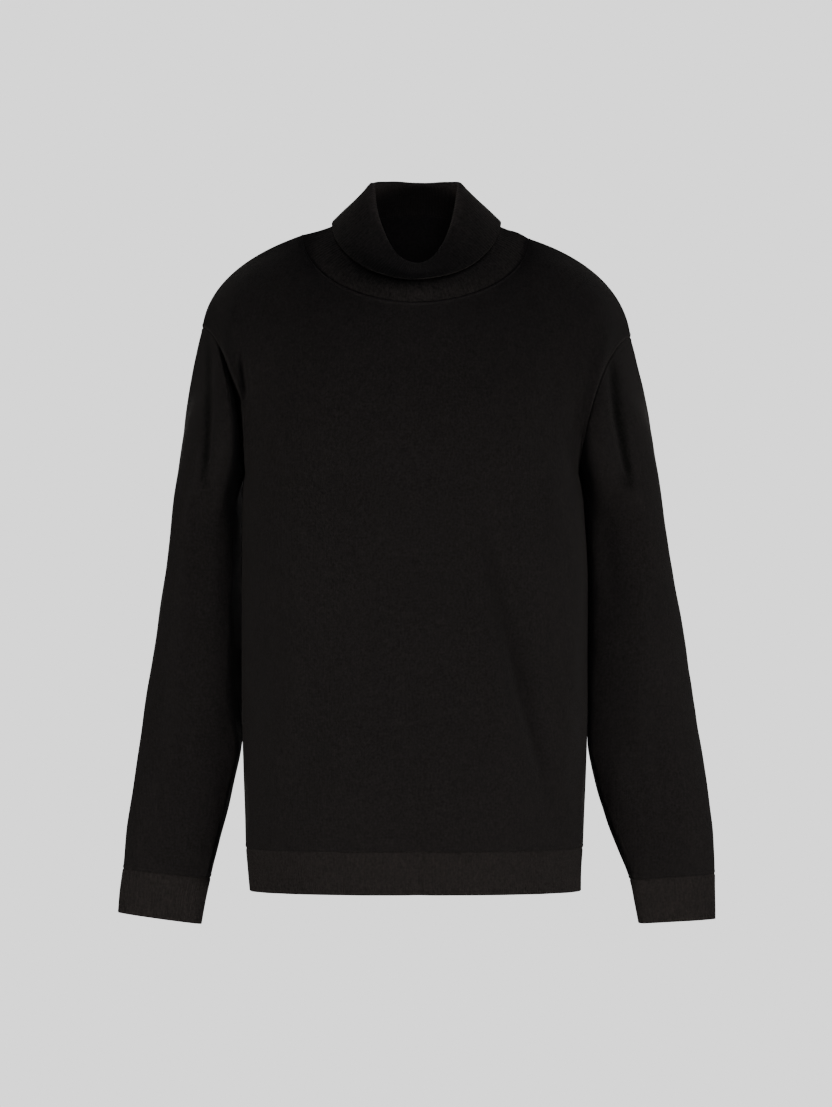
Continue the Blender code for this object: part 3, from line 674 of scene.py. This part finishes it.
# a ribbed band below a seam: half a hem on one face of the body, or a whole cuff
def makeBand(name, pointsAt, seamZ, size, ribs, creases, seed, face=0):
    ring, (height, width) = face == 0, size
    turns = np.linspace(0, 1, ribs * bands["ribSteps"] + 1)
    levels = seamZ - height * spread(height, bands["cell"], end=bands["edgeRows"])
    grid = pointsAt(turns[None, :], levels[:, None])
    own = turns[:-1] if ring else turns
    fromSide = np.minimum(turns, 1 - turns) * width
    hold = 1 if ring else ramp(fromSide, cloth["settleSide"])
    grid, normals = crumple(grid[:, : len(own)], ring, creases, own * width, seed, hold)
    down, across = runLengths(grid, 0), runLengths(grid, 1)
    raised = bands["ribHeight"] * ribProfile(own * ribs) * ramp(down, bands["ribStart"])
    surface = grid + normals * (raised - seamProfile(down, 0))[..., None]
    if not ring:
        for side, distance in ((face, across), (-face, across[:, -1:] - across)):
            surface = surface - np.array((side, 0, 0)) * seamProfile(distance, 0)[..., None]
    half = bands["thickness"] / 2
    middle, half = surface - normals * half, half * edgeRound(down[-1:] - down)
    if ring:
        down = np.concatenate([down, down[:, :1]], 1)
    place = np.broadcast_to((turns * ribs + 0.5) * 100, down.shape)
    return clothObject(name, middle, normals, half, place, down, ring, ribKnit)


def makeBody(face, panelName, hemName, seed):
    startAngle = 0 if face < 0 else math.pi
    shares = spread(panels["width"], cloth["cell"])
    yokeShares = spread(panels["yokeHeight"], cloth["cell"], end=(0,))
    reach = panels["underarm"] - panels["hemSeam"]
    levels = panels["underarm"] - reach * spread(reach, cloth["cell"], start=(0,))[1:]
    grid, topFacing = yokeGrid(face, shares, yokeShares)
    below = bodyPoints(startAngle + math.pi * shares[None, :], levels[:, None])
    column = np.linspace(0, 1, len(shares))
    columnShare = ramp(np.minimum(column, 1 - column) - 0.08, 0.14)  # not at the sides
    grid = np.concatenate([grid, below])
    grid = easeBend(grid, len(yokeShares), panels["bend"], columnShare)
    grid = softenCorner(grid, shares, len(yokeShares))
    place = shares * panels["width"]
    hold = ramp(grid[0, :, 2] - grid[..., 2], cloth["settle"])
    hold = hold * ramp(np.minimum(place, panels["width"] - place), cloth["settleSide"])
    grid, _ = crumple(grid, False, panels["creases"], place, seed, hold)

    # folds and linked seams at the neck and shoulders, the two sides and the hem
    down, across = runLengths(grid, 0), runLengths(grid, 1)
    isNeck = np.abs(shares - 0.5) < 0.25
    # the linking yarn at the neck and shoulder seams, lightened in the material: painted
    # highlight
    seamYarnAndPaintedShading = linkedMask(down) * np.where(isNeck, 1, panels["shoulderSeamHighlight"])
    fade = np.exp(-np.arange(len(levels)) / 4.0)[:, None]  # below the underarm, in rows
    yoke = (np.arange(len(grid)) < len(yokeShares))[:, None]
    dents, surface = 0, grid
    for side, fromSide in ((face, across), (-face, across[:, -1:] - across)):
        facing = armholeFacing(side, face, yokeShares)
        outward = unit(np.array((side, 0.0, 0.0)) * (1 - fade) + facing[-1] * fade)
        facing = np.concatenate([facing, outward])[:, None]
        distance, share = fromArmhole(side, face, grid, (0, 1, 2))
        fold, seen = armholeFold(side, face, grid, False)
        surface = surface + fold
        distance = np.where(yoke, distance, fromSide)
        dents = dents + facing * (seen * seamProfile(distance))[..., None]
        seamYarnAndPaintedShading = seamYarnAndPaintedShading + linkedMask(distance) * seen * yoke * (share < 0.8)
    normals = gridNormals(surface, False)
    topRidge = np.where(isNeck, panels["neckRidge"], 1)
    foot = seamProfile(down[-1:] - down, cloth["bandRidge"])
    surface = surface - dents - topFacing[None] * seamProfile(down, topRidge)[..., None]
    surface = surface - normals * foot[..., None]
    centre = np.argmin(np.abs(shares - 0.5))
    panel = makePlain(panelName, surface, normals, across, down, centre, False, seamYarnAndPaintedShading)

    def hemPoints(turns, z):
        return bodyPoints(startAngle + math.pi * turns, z)

    seamZ, height, ribs = panels["hemSeam"], panels["hemHeight"], bands["ribs"]
    size = height, panels["width"]
    hem = makeBand(hemName, hemPoints, seamZ, size, ribs, panels["creases"], seed, face)
    return panel, hem


frontPanel, frontHem = makeBody(-1, "frontPanel", "frontHem", 1.0)
backPanel, backHem = makeBody(1, "backPanel", "backHem", 4.0)
print("front, back and hems made")


# ---- sleeves and cuffs

sleeves = dict(
    # level, outer and inner end in x, centre and half depth in y, turn, rise outwards
    ovals={
        -1: [
            (-300, 257.2, 178.8, 32, 61, 25, 0), (-350, 263.8, 178.4, 33, 57, 26, 0),
            (-415, 274, 178.8, 34, 50, 25, 0), (-500, 287.4, 181, 33, 39, 16, 0),
            (-541, 292.4, 184, 30, 34, 10, 1), (-583, 298.3, 193.8, 26, 28, 6, 3),
            (-625, 305, 205, 23, 24, 3, 6), (-670.5, 309, 216.6, 20, 20, 0, 9.7),
            (-695, 312, 222.4, 18, 17, 0, 11), (-718, 313.8, 226.8, 17, 16, 0, 12.2),
        ],
        1: [
            (-300, 261.4, 175.8, 32, 61, 26, 0), (-350, 269.8, 177.6, 34, 55, 27, 0),
            (-415, 281.8, 178.6, 35, 49, 26, 0), (-500, 296, 180.2, 34, 40, 17, 0),
            (-541, 302.2, 181.6, 30, 35, 10, 0), (-583, 307.4, 191, 26, 30, 6, 2),
            (-625, 312.4, 205.4, 22, 25, 3, 4), (-674, 315, 225.6, 20, 20, 0, 6),
            (-698, 315, 230.6, 18, 17, 0, 5), (-721, 314.8, 235, 17, 16, 0, 4.3),
        ],
    },
    # level, inner wall at the front, squareness of the front's inner corner
    walls={
        -1: [
            (-300, 190.5, 0.36), (-400, 190.5, 0.36), (-480, 190.3, 0.36), (-510, 188, 0.38),
            (-541, 184.2, 0.44), (-583, 193.8, 0.75), (-625, 205, 1), (-670, 216, 1),
            (-730, 228, 1),
        ],
        1: [
            (-300, 178.7, 0.36), (-350, 181.4, 0.36), (-480, 181.6, 0.36),
            (-520, 181.6, 0.38), (-541, 181.8, 0.44), (-583, 191, 0.75), (-625, 205.4, 1),
            (-674, 225, 1), (-730, 236, 1),
        ],
    },
    width=295,  # round the upper arm
    headHeight=150,
    bend=(24, 1.6, 50),  # softening below the head: blur, strength, reach
    cornerY=-14,  # where the front's inner corner meets the inner wall
    fuller=3.6,  # outwards, over the upper arm
    fullerLevel=-213,
    fullerReach=42,
    underSeam=(0.6, 0.8, 12),  # along the underarm: depth, ridge, start below the armhole
    # how it leaves the armhole: 0 outside, 90 at the front, 180 at the underarm
    head=[
        (0, 18, 3, -55, -4, -3, 70), (45, 16, -7, -46, -2, -8, 64),
        (90, 13, -8, -34, -4, -12, 46), (112, 11, -11, -28, -2, -15, 38),
        (135, 9, -12, -22, 0, -13, 30), (180, 4, 5, -15, 0, 0, 18),
        (225, 4, 10, -20, -2, 5, 26), (270, 13, 9, -34, -4, 8, 46),
        (315, 16, 9, -46, -2, 5, 64), (360, 18, 3, -55, -4, -3, 70),
    ],
    # painted shade in the bottoms of the sharpest creases: its strength, then width and points
    # (x, z)
    paintedCreaseShade=0.62,
    paintedCreaseShades={
        -1: (3.4, [(-219, -108), (-217, -126), (-216.5, -165), (-218, -215), (-222, -262)]),
        1: (5, [(205, -134), (207, -150), (211, -188), (217, -222), (224, -262)]),
    },
    creases={
        -1: [
            (-1, 3.4, 13, [(-221, -112), (-216, -165), (-217, -215), (-226, -293)]),
            (
                -1, 3.6, 4,
                [(-219, -108), (-217, -126), (-216.5, -165), (-218, -215), (-222, -262)],
            ),
            (-1, 3, 15, [(-226, -293), (-230, -368), (-238, -488)]),
            (1, 3.6, 16, [(-214, -140), (-208, -230), (-216, -330), (-232, -460)]),
            (-1, 1.2, 8, [(-192, -118), (-185, -134), (-180, -160)]),
            (-1, 1.4, 8, [(-238, -480), (-246, -560), (-258, -636)]),
            (-1, -1, 9, [(-214, -560), (-226, -610), (-236, -660)]),
        ],
        1: [
            (-1, 3.6, 13, [(203, -140), (209, -175), (214, -206), (224, -250)]),
            (-1, 3, 14, [(197, -262), (203, -344), (209, -395)]),
            (-1, 2.6, 15, [(236, -306), (246, -357), (251, -410)]),
            (1, 3.6, 16, [(212, -150), (207, -240), (218, -350), (238, -500)]),
            (-1, 4.2, 5, [(204, -134), (206, -150), (210, -188), (216, -222), (223, -262)]),
            (-1, 1.2, 8, [(240, -460), (250, -540), (262, -620)]),
            (-1, 1, 8, [(222, -520), (236, -590), (250, -660)]),
            (-1, -0.9, 9, [(262, -420), (272, -520), (284, -620)]),
        ],
    },
)


def ovalPoints(side, angle, z):
    oval = readTable(sleeves["ovals"][side], z)
    outer, inner, middleY, depth, turn, rise = np.moveaxis(oval, -1, 0)
    middle, half, turn = (outer + inner) / 2, (outer - inner) / 2, np.radians(turn)
    cos, sin = np.cos(turn), np.sin(turn)
    short = np.sqrt(half**2 - (depth * sin) ** 2) / cos

    def turned(angle):
        flatX, flatY = short * np.cos(angle), -depth * np.sin(angle)
        return flatX * cos - flatY * sin, flatX * sin + flatY * cos

    # the front of the inner wall is fuller than the oval, and stands off from the body
    wall, square = np.moveaxis(readTable(sleeves["walls"][side], z), -1, 0)
    front = math.pi - np.arctan2(depth * cos, short * sin)
    end = math.pi + np.arctan2(depth * sin, short * cos)
    way = math.pi / 2 * ramp(angle - front, end - front)
    (x, y), (frontX, frontY) = turned(angle), turned(front)
    cornerX, cornerY = np.maximum(-half, wall - middle), sleeves["cornerY"]
    fullX = frontX + (cornerX - frontX) * np.sin(way) ** square
    fullY = cornerY + (frontY - cornerY) * np.maximum(np.cos(way), 0) ** square
    back = ramp(way / (math.pi / 2) - 0.72, 0.28)  # returns to the oval
    back = back**2 * (3 - 2 * back)
    inside = (angle > front) & (angle < end)
    x = np.where(inside, fullX + (x - fullX) * back, x)
    y = np.where(inside, fullY + (y - fullY) * back, y)
    return points(side * (middle + x), middleY + y, z + rise * x / (2 * half))


def roundArm(side, turns):  # from the underarm, by the outside, back to the underarm
    return math.pi - side * math.tau * turns


def makeSleeve(side, sleeveName, cuffName, seed):
    table = sleeves["ovals"][side]
    firstZ, cuffZ, endZ = table[0][0], table[-3][0], table[-1][0]
    turns = spread(sleeves["width"], cloth["cell"])[:-1]
    angle = roundArm(side, turns) % math.tau
    faces = np.where(angle <= math.pi, -1, 1)
    shares = np.where(faces < 0, angle, math.tau - angle) / math.pi
    top, facing = np.zeros((len(turns), 3)), np.zeros((len(turns), 3))
    for face in (-1, 1):
        mine = faces == face
        top[mine] = armholePoints(side, face, shares[mine])
        facing[mine] = armholeFacing(side, face, shares[mine])
    shape = readTable(sleeves["head"], np.degrees(angle))
    feet = ovalPoints(side, angle, firstZ)
    headShares = spread(sleeves["headHeight"], cloth["cell"], end=(0,))[:, None, None]
    leave, arrive = shape[:, :3] * (side, 1, 1), shape[:, 3:] * (side, 1, 1)
    head = bezier(top, top + leave, feet + arrive, feet, headShares)
    reach = firstZ - cuffZ
    levels = firstZ - reach * spread(reach, cloth["cell"], start=(0,))[1:]
    grid = np.concatenate([head, ovalPoints(side, angle[None, :], levels[:, None])])
    fuller = bell(grid[..., 2] - sleeves["fullerLevel"], sleeves["fullerReach"])
    fuller = sleeves["fuller"] * fuller * np.clip(np.cos(angle), 0, 1)
    grid[..., 0] += side * fuller
    grid = easeBend(grid, len(headShares), sleeves["bend"])

    creases, place = sleeves["creases"][side], turns * sleeves["width"]
    hold = ramp(runLengths(grid, 0), cloth["settle"])
    grid, _ = crumple(grid, True, creases, place, seed, hold)
    closed = np.concatenate([grid, grid[:, :1]], 1)
    down, across = runLengths(closed, 0), runLengths(closed, 1)
    fromTop, fromSeam = down[:, :-1], np.minimum(across, across[:, -1:] - across)[:, :-1]
    fold, seen = np.zeros(grid.shape), np.zeros(fromTop.shape)
    for face in (-1, 1):
        mine = faces == face
        fold[:, mine], seen[:, mine] = armholeFold(side, face, grid[:, mine], True)
    normals = gridNormals(grid + fold, True)
    seamDepth, ridge, start = sleeves["underSeam"]
    under = seamDepth * ramp(fromTop, start) * seamProfile(fromSeam, ridge)
    under = under + seamProfile(fromTop[-1:] - fromTop, cloth["bandRidge"])
    surface = grid + fold - facing[None] * (seen * seamProfile(fromTop))[..., None]
    surface = surface - normals * under[..., None]
    centre = np.argmin(np.abs(turns - 0.5))
    # painted shade: the colour is darkened in the bottoms of these creases
    paintedCreaseShades = [(-1, -sleeves["paintedCreaseShade"], *sleeves["paintedCreaseShades"][side])]
    paintedCreaseShade = creaseDepth(paintedCreaseShades, grid, normals)
    sleeve = makePlain(sleeveName, surface, normals, across, down, centre, True, paintedCreaseShade)

    def cuffPoints(turns, z):
        return ovalPoints(side, roundArm(side, turns), z)

    size, ribs = (cuffZ - endZ, sleeves["width"]), bands["cuffRibs"]
    cuff = makeBand(cuffName, cuffPoints, cuffZ, size, ribs, creases, seed)
    return sleeve, cuff


rightSleeve, rightCuff = makeSleeve(-1, "rightSleeve", "rightCuff", 2.0)
leftSleeve, leftCuff = makeSleeve(1, "leftSleeve", "leftCuff", 3.0)
print("sleeves and cuffs made")


# ---- roll collar

collar = dict(
    ribs=172,
    ribSteps=7,
    ribHeight=0.3,
    ribStart=3,
    thickness=1.5,
    rows=31,
    topRows=(0, 0.3, 0.7, 1.2),  # beside the free edge
    seamRows=(0, 0.6, 1.4, 2.4),
    seamDepth=0.4,  # share of the groove of other seams
    wave=0.9,
    waves=((0.55, 3, 0.6, 0), (0.45, 5, 2.1, 1 / 34), (0.25, 9, 0.4, -1 / 21)),
    # tone: darker all over, a painted shadow on the front's right, and painted light inside the
    # neck, and where each lies: degrees round, distance from the edge, distance from the seam
    tones=(-0.2, -0.4, 0.6),
    paintedShadowTurn=(70, 42),
    paintedShadowEdge=(5, 15),
    paintedShadowSeam=(25, 12),
    paintedLightEdge=(48, 12),
    paintedLightSeam=(36, 6),
    # rings up from the neck seam, over the fold and down to the free edge: half width,
    # y and z at the side, the front and the back, squareness, drop, rise and lift
    rings=[
        (106, 6.5, 3.2, -87.5, -59, 71.5, 31, 1, 1, 2.1, 0),
        (93.5, 7.5, 6.8, -83.5, -51.6, 64.5, 35.5, 0.98, 1.08, 2, 0),
        (79, 9, 14.2, -71.5, -47.6, 57.5, 40.4, 0.95, 1.18, 1.5, 0),
        (64, 10.5, 26.6, -58, -43.4, 50, 45.4, 0.9, 1.28, 1.05, 0),
        (51, 12, 40.8, -46.8, -39, 43.2, 50.6, 0.8, 1.32, 0.95, 0),
        (44.6, 12.5, 50.2, -41.2, -36.2, 39, 54.6, 0.72, 1.28, 0.9, 0),
        (44.2, 12.5, 54.8, -41.7, -32.8, 39.5, 57.6, 0.72, 1.26, 0.9, 0),
        (46.8, 12.5, 56, -46, -32, 43.6, 58.6, 0.74, 1.26, 0.9, 0),
        (54.8, 12, 46.6, -57, -36.4, 55, 52.4, 0.8, 1.3, 0.9, 2),
        (66, 11, 34.6, -68, -40.6, 66.5, 42.4, 0.84, 1.26, 0.95, 4),
        (77.5, 10, 23.6, -79, -44.8, 77.5, 30.4, 0.82, 1.18, 0.95, 6),
        (89, 9, 12.8, -87.8, -50, 87, 14, 0.8, 1.12, 1, 8.5),
    ],
)


def ringPoints(ring, angle):  # 0 at the right side, 90 degrees at the front
    half, sideY, sideZ, frontY, frontZ, backY, backZ, square, drop, rise, lift = ring
    across, along = np.cos(angle), np.abs(np.sin(angle))
    before = np.sin(angle) >= 0
    middleY, middleZ = np.where(before, frontY, backY), np.where(before, frontZ, backZ)
    power, late = np.where(before, 1, square), np.where(before, drop, rise)
    lifted = np.where(before, 0, lift) * 2 * along * np.abs(across)
    return points(
        -half * signedPower(across, power),
        sideY + (middleY - sideY) * along**power,
        sideZ + (middleZ - sideZ) * along**late + lifted,
    )


def makeCollar():
    turns = np.linspace(0, 1, collar["ribs"] * collar["ribSteps"] + 1)
    angle = (-math.pi / 2 + math.tau * turns) % math.tau  # starts at the centre back
    isFront, way = (np.sin(angle) >= 0)[:, None], np.arccos(np.cos(angle))
    seams = zip(neckPoints(-1, way), neckPoints(1, way))
    seam, facing = (np.where(isFront, front, back) for front, back in seams)
    rings = [ringPoints(ring, angle) for ring in reversed(collar["rings"])]
    control = np.array([*rings, seam - facing * cloth["thickness"] / 2])
    keys = runLengths(control, 0).mean(1)
    total = keys[-1]
    rows = spread(total, total / collar["rows"], collar["topRows"], collar["seamRows"])
    closed = readCurve(keys, control, rows * total)
    grid, angle = closed[:, :-1], angle[:-1]
    normals = gridNormals(grid, True)
    down = runLengths(closed, 0)
    fromEdge, fromSeam = down[:, :-1], (down[-1:] - down)[:, :-1]
    wave = sum(
        size * np.sin(count * angle + shift + fromEdge * slant)
        for size, count, shift, slant in collar["waves"]
    )
    wave = collar["wave"] * wave * ramp(fromSeam, cloth["settleSide"])
    place = turns * collar["ribs"]
    ribs = (ribProfile(place[:-1]) - 0.5) * ramp(fromSeam, collar["ribStart"])
    surface = grid + normals * (wave + collar["ribHeight"] * ribs)[..., None]
    groove = collar["seamDepth"] * seamProfile(fromSeam, 0)
    surface = surface - facing[None, :-1] * groove[..., None]

    def toneBell(value, name):
        return bell(value - collar[name][0], collar[name][1])

    def toneRamp(value, name):
        return ramp(value - collar[name][0], collar[name][1])

    # painted shadow darkens the front's right near the free edge and above the seam, and
    # painted light lightens the inner layer inside the neck
    paintedShadow = toneBell(fromEdge, "paintedShadowEdge") + toneBell(fromSeam, "paintedShadowSeam")
    paintedShadow = np.minimum(paintedShadow, 1) * toneBell(np.degrees(angle), "paintedShadowTurn")
    inside = np.where(np.sin(angle) < 0, 1, toneRamp(fromSeam, "paintedLightSeam"))
    inside = inside * toneRamp(fromEdge, "paintedLightEdge")
    even, dark, light = collar["tones"]
    seamYarnAndPaintedShading = even + dark * paintedShadow + light * inside
    half = collar["thickness"] / 2 * edgeRound(fromEdge)
    place = np.broadcast_to((place + 0.5) * 100, down.shape)
    return clothObject("rollCollar", surface, normals, half, place, down, True, ribKnit, seamYarnAndPaintedShading)


rollCollar = makeCollar()
print("roll collar made")


# ---- what stands for what, and how each sheet is cut, listed; the CAD parts are hidden

body = ["frontPanel", "backPanel"]
cuts = [
    (frontPanel, "front_panel", (0.480, 0.660), 0.292, []),
    (backPanel, "back_panel", (0.480, 0.680), 0.292, []),
    (rightSleeve, "right_sleeve", (0.350, 0.570), 0.145, body),
    (leftSleeve, "left_sleeve", (0.350, 0.570), 0.150, body),
    (frontHem, "front_hem", (0.480, 0.050), None, ["frontPanel"]),
    (backHem, "back_hem", (0.480, 0.050), None, ["backPanel"]),
    (rightCuff, "right_cuff", (0.215, 0.052), None, ["rightSleeve"]),
    (leftCuff, "left_cuff", (0.205, 0.052), None, ["leftSleeve"]),
    (rollCollar, "roll_collar", (0.470, 0.160), None, body),
]
for piece, node, flat, area, holds in cuts:
    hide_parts(node)


# ---- floor, light and camera

stage = dict(
    paper=(0.80, 0.80, 0.80),
    floorZ=-1.15,
    floorRadius=2.4,
    fadeFrom=0.7,  # the floor fades into the background
    background=1.65,
    fill=(-0.5, 0.6, 0.022, 0.022),  # its low and high level, and its strength at each
    # name, place, size, power, aimed at, colour
    lights=[
        ("frontMid", (0.3, -4.5, -0.2), (1.2, 1.2), 11.8, (0, 0, -0.35), (1, 0.98, 1)),
        ("frontHigh", (0.3, -2.2, 1.5), (1.6, 1), 5.5, (0, 0, -0.2), (1, 0.98, 1.02)),
        ("rightLow", (1.5, -1.2, -1.05), (0.9, 0.5), 26, (0.1, 0, -0.6), (1, 0.95, 0.86)),
        ("leftLow", (-1.5, -1.2, -1.05), (0.9, 0.5), 26, (-0.1, 0, -0.6), (1, 0.95, 0.86)),
        ("rightRim", (1.9, 0.4, -0.8), (0.5, 1.1), 4, (0.15, 0, -0.5), (1, 0.97, 0.93)),
        ("leftRim", (-1.9, 0.4, -0.8), (0.5, 1.1), 1, (-0.15, 0, -0.5), (1, 0.97, 0.93)),
        ("backRight", (0.95, 3, 0), (0.4, 1.2), 7, (0, 0, -0.35), (1, 0.97, 0.94)),
        ("backLeft", (-0.95, 3, 0), (0.4, 1.2), 6, (0, 0, -0.35), (1, 0.97, 0.94)),
        ("top", (0.3, 0, 2.2), (1.4, 1.4), 6, (0, 0, -0.1), (1, 0.97, 0.97)),
    ],
    # a narrow soft light into the neck opening
    neckPlace=(0, -2.5, -0.12),
    neckAim=(0, -0.03, 0.012),
    neckPower=26,
    neckSpread=3.6,
    neckSoftness=0.05,
    lens=200,
    cameraPlace=(0, -6.46, -0.334),
)


def makeFloor():
    place, radius = (0, 0, stage["floorZ"]), stage["floorRadius"]
    bpy.ops.mesh.primitive_circle_add(
        vertices=96, radius=radius, fill_type="NGON", location=place
    )
    floor = bpy.context.object
    floor.name = "floor"
    floor.visible_diffuse = floor.visible_glossy = False
    bpy.ops.object.transform_apply(location=True)
    material = bpy.data.materials.new("paleFloor")
    material.use_nodes = True
    tree = material.node_tree
    link = tree.links.new
    shader = tree.nodes["Principled BSDF"]
    setInputs(shader, {"Base Color": (*stage["paper"], 1), "Roughness": 0.9})
    glow = tree.nodes.new("ShaderNodeEmission")
    setInputs(glow, dict(Color=(1, 1, 1, 1), Strength=stage["background"]))
    place = tree.nodes.new("ShaderNodeTexCoord")
    flat = nodeVector(tree, "MULTIPLY", place.outputs["Object"], (1, 1, 0))
    fade = tree.nodes.new("ShaderNodeMapRange")
    fade.interpolation_type = "SMOOTHSTEP"
    setInputs(fade, {"From Min": stage["fadeFrom"], "From Max": radius * 0.96})
    mix = tree.nodes.new("ShaderNodeMixShader")
    link(nodeVector(tree, "LENGTH", flat), fade.inputs["Value"])
    link(fade.outputs["Result"], mix.inputs["Fac"])
    link(shader.outputs["BSDF"], mix.inputs[1])
    link(glow.outputs["Emission"], mix.inputs[2])
    link(mix.outputs[0], tree.nodes["Material Output"].inputs["Surface"])
    floor.data.materials.append(material)


# pale to the camera, and as a light dim and graded by height
def makeWorld():
    world = bpy.data.worlds.new("studio")
    bpy.context.scene.world = world
    world.use_nodes = True
    tree = world.node_tree
    seen, fill = tree.nodes["Background"], tree.nodes.new("ShaderNodeBackground")
    for shader in (seen, fill):
        setInputs(shader, dict(Color=(1, 1, 1, 1), Strength=stage["background"]))
    place = tree.nodes.new("ShaderNodeTexCoord")
    split = tree.nodes.new("ShaderNodeSeparateXYZ")
    grade = tree.nodes.new("ShaderNodeMapRange")
    grade.interpolation_type = "SMOOTHSTEP"
    ends = "From Min", "From Max", "To Min", "To Max"
    setInputs(grade, dict(zip(ends, stage["fill"])))
    ray = tree.nodes.new("ShaderNodeLightPath")
    mix = tree.nodes.new("ShaderNodeMixShader")
    link = tree.links.new
    link(place.outputs["Generated"], split.inputs["Vector"])
    link(split.outputs["Z"], grade.inputs["Value"])
    link(grade.outputs["Result"], fill.inputs["Strength"])
    link(ray.outputs["Is Camera Ray"], mix.inputs["Fac"])
    link(fill.outputs["Background"], mix.inputs[1])
    link(seen.outputs["Background"], mix.inputs[2])
    link(mix.outputs[0], tree.nodes["World Output"].inputs["Surface"])


def placeLamp(light, place, aim):
    lamp = bpy.data.objects.new(light.name, light)
    lamp.location = place
    away = lamp.location - type(lamp.location)(aim)
    lamp.rotation_euler = away.to_track_quat("Z", "Y").to_euler()
    bpy.context.scene.collection.objects.link(lamp)
    return lamp


def makeLights():
    for name, place, size, power, aim, colour in stage["lights"]:
        light = bpy.data.lights.new(name, "AREA")
        light.shape = "RECTANGLE"
        light.size, light.size_y = size
        light.energy = power
        light.color = colour
        placeLamp(light, place, aim).visible_camera = False
    light = bpy.data.lights.new("neck", "SPOT")
    light.energy = stage["neckPower"]
    light.spot_size = math.radians(stage["neckSpread"])
    light.spot_blend = 1.0
    light.shadow_soft_size = stage["neckSoftness"]
    placeLamp(light, stage["neckPlace"], stage["neckAim"])


def makeCamera():
    lens = bpy.data.cameras.new("camera")
    lens.lens = stage["lens"]
    lens.clip_end = 60
    camera = bpy.data.objects.new("camera", lens)
    camera.location = stage["cameraPlace"]
    camera.rotation_euler = (math.radians(90), 0, 0)
    bpy.context.scene.collection.objects.link(camera)
    bpy.context.scene.camera = camera


makeFloor()
makeWorld()
makeLights()
makeCamera()
print("stage, light and camera made")
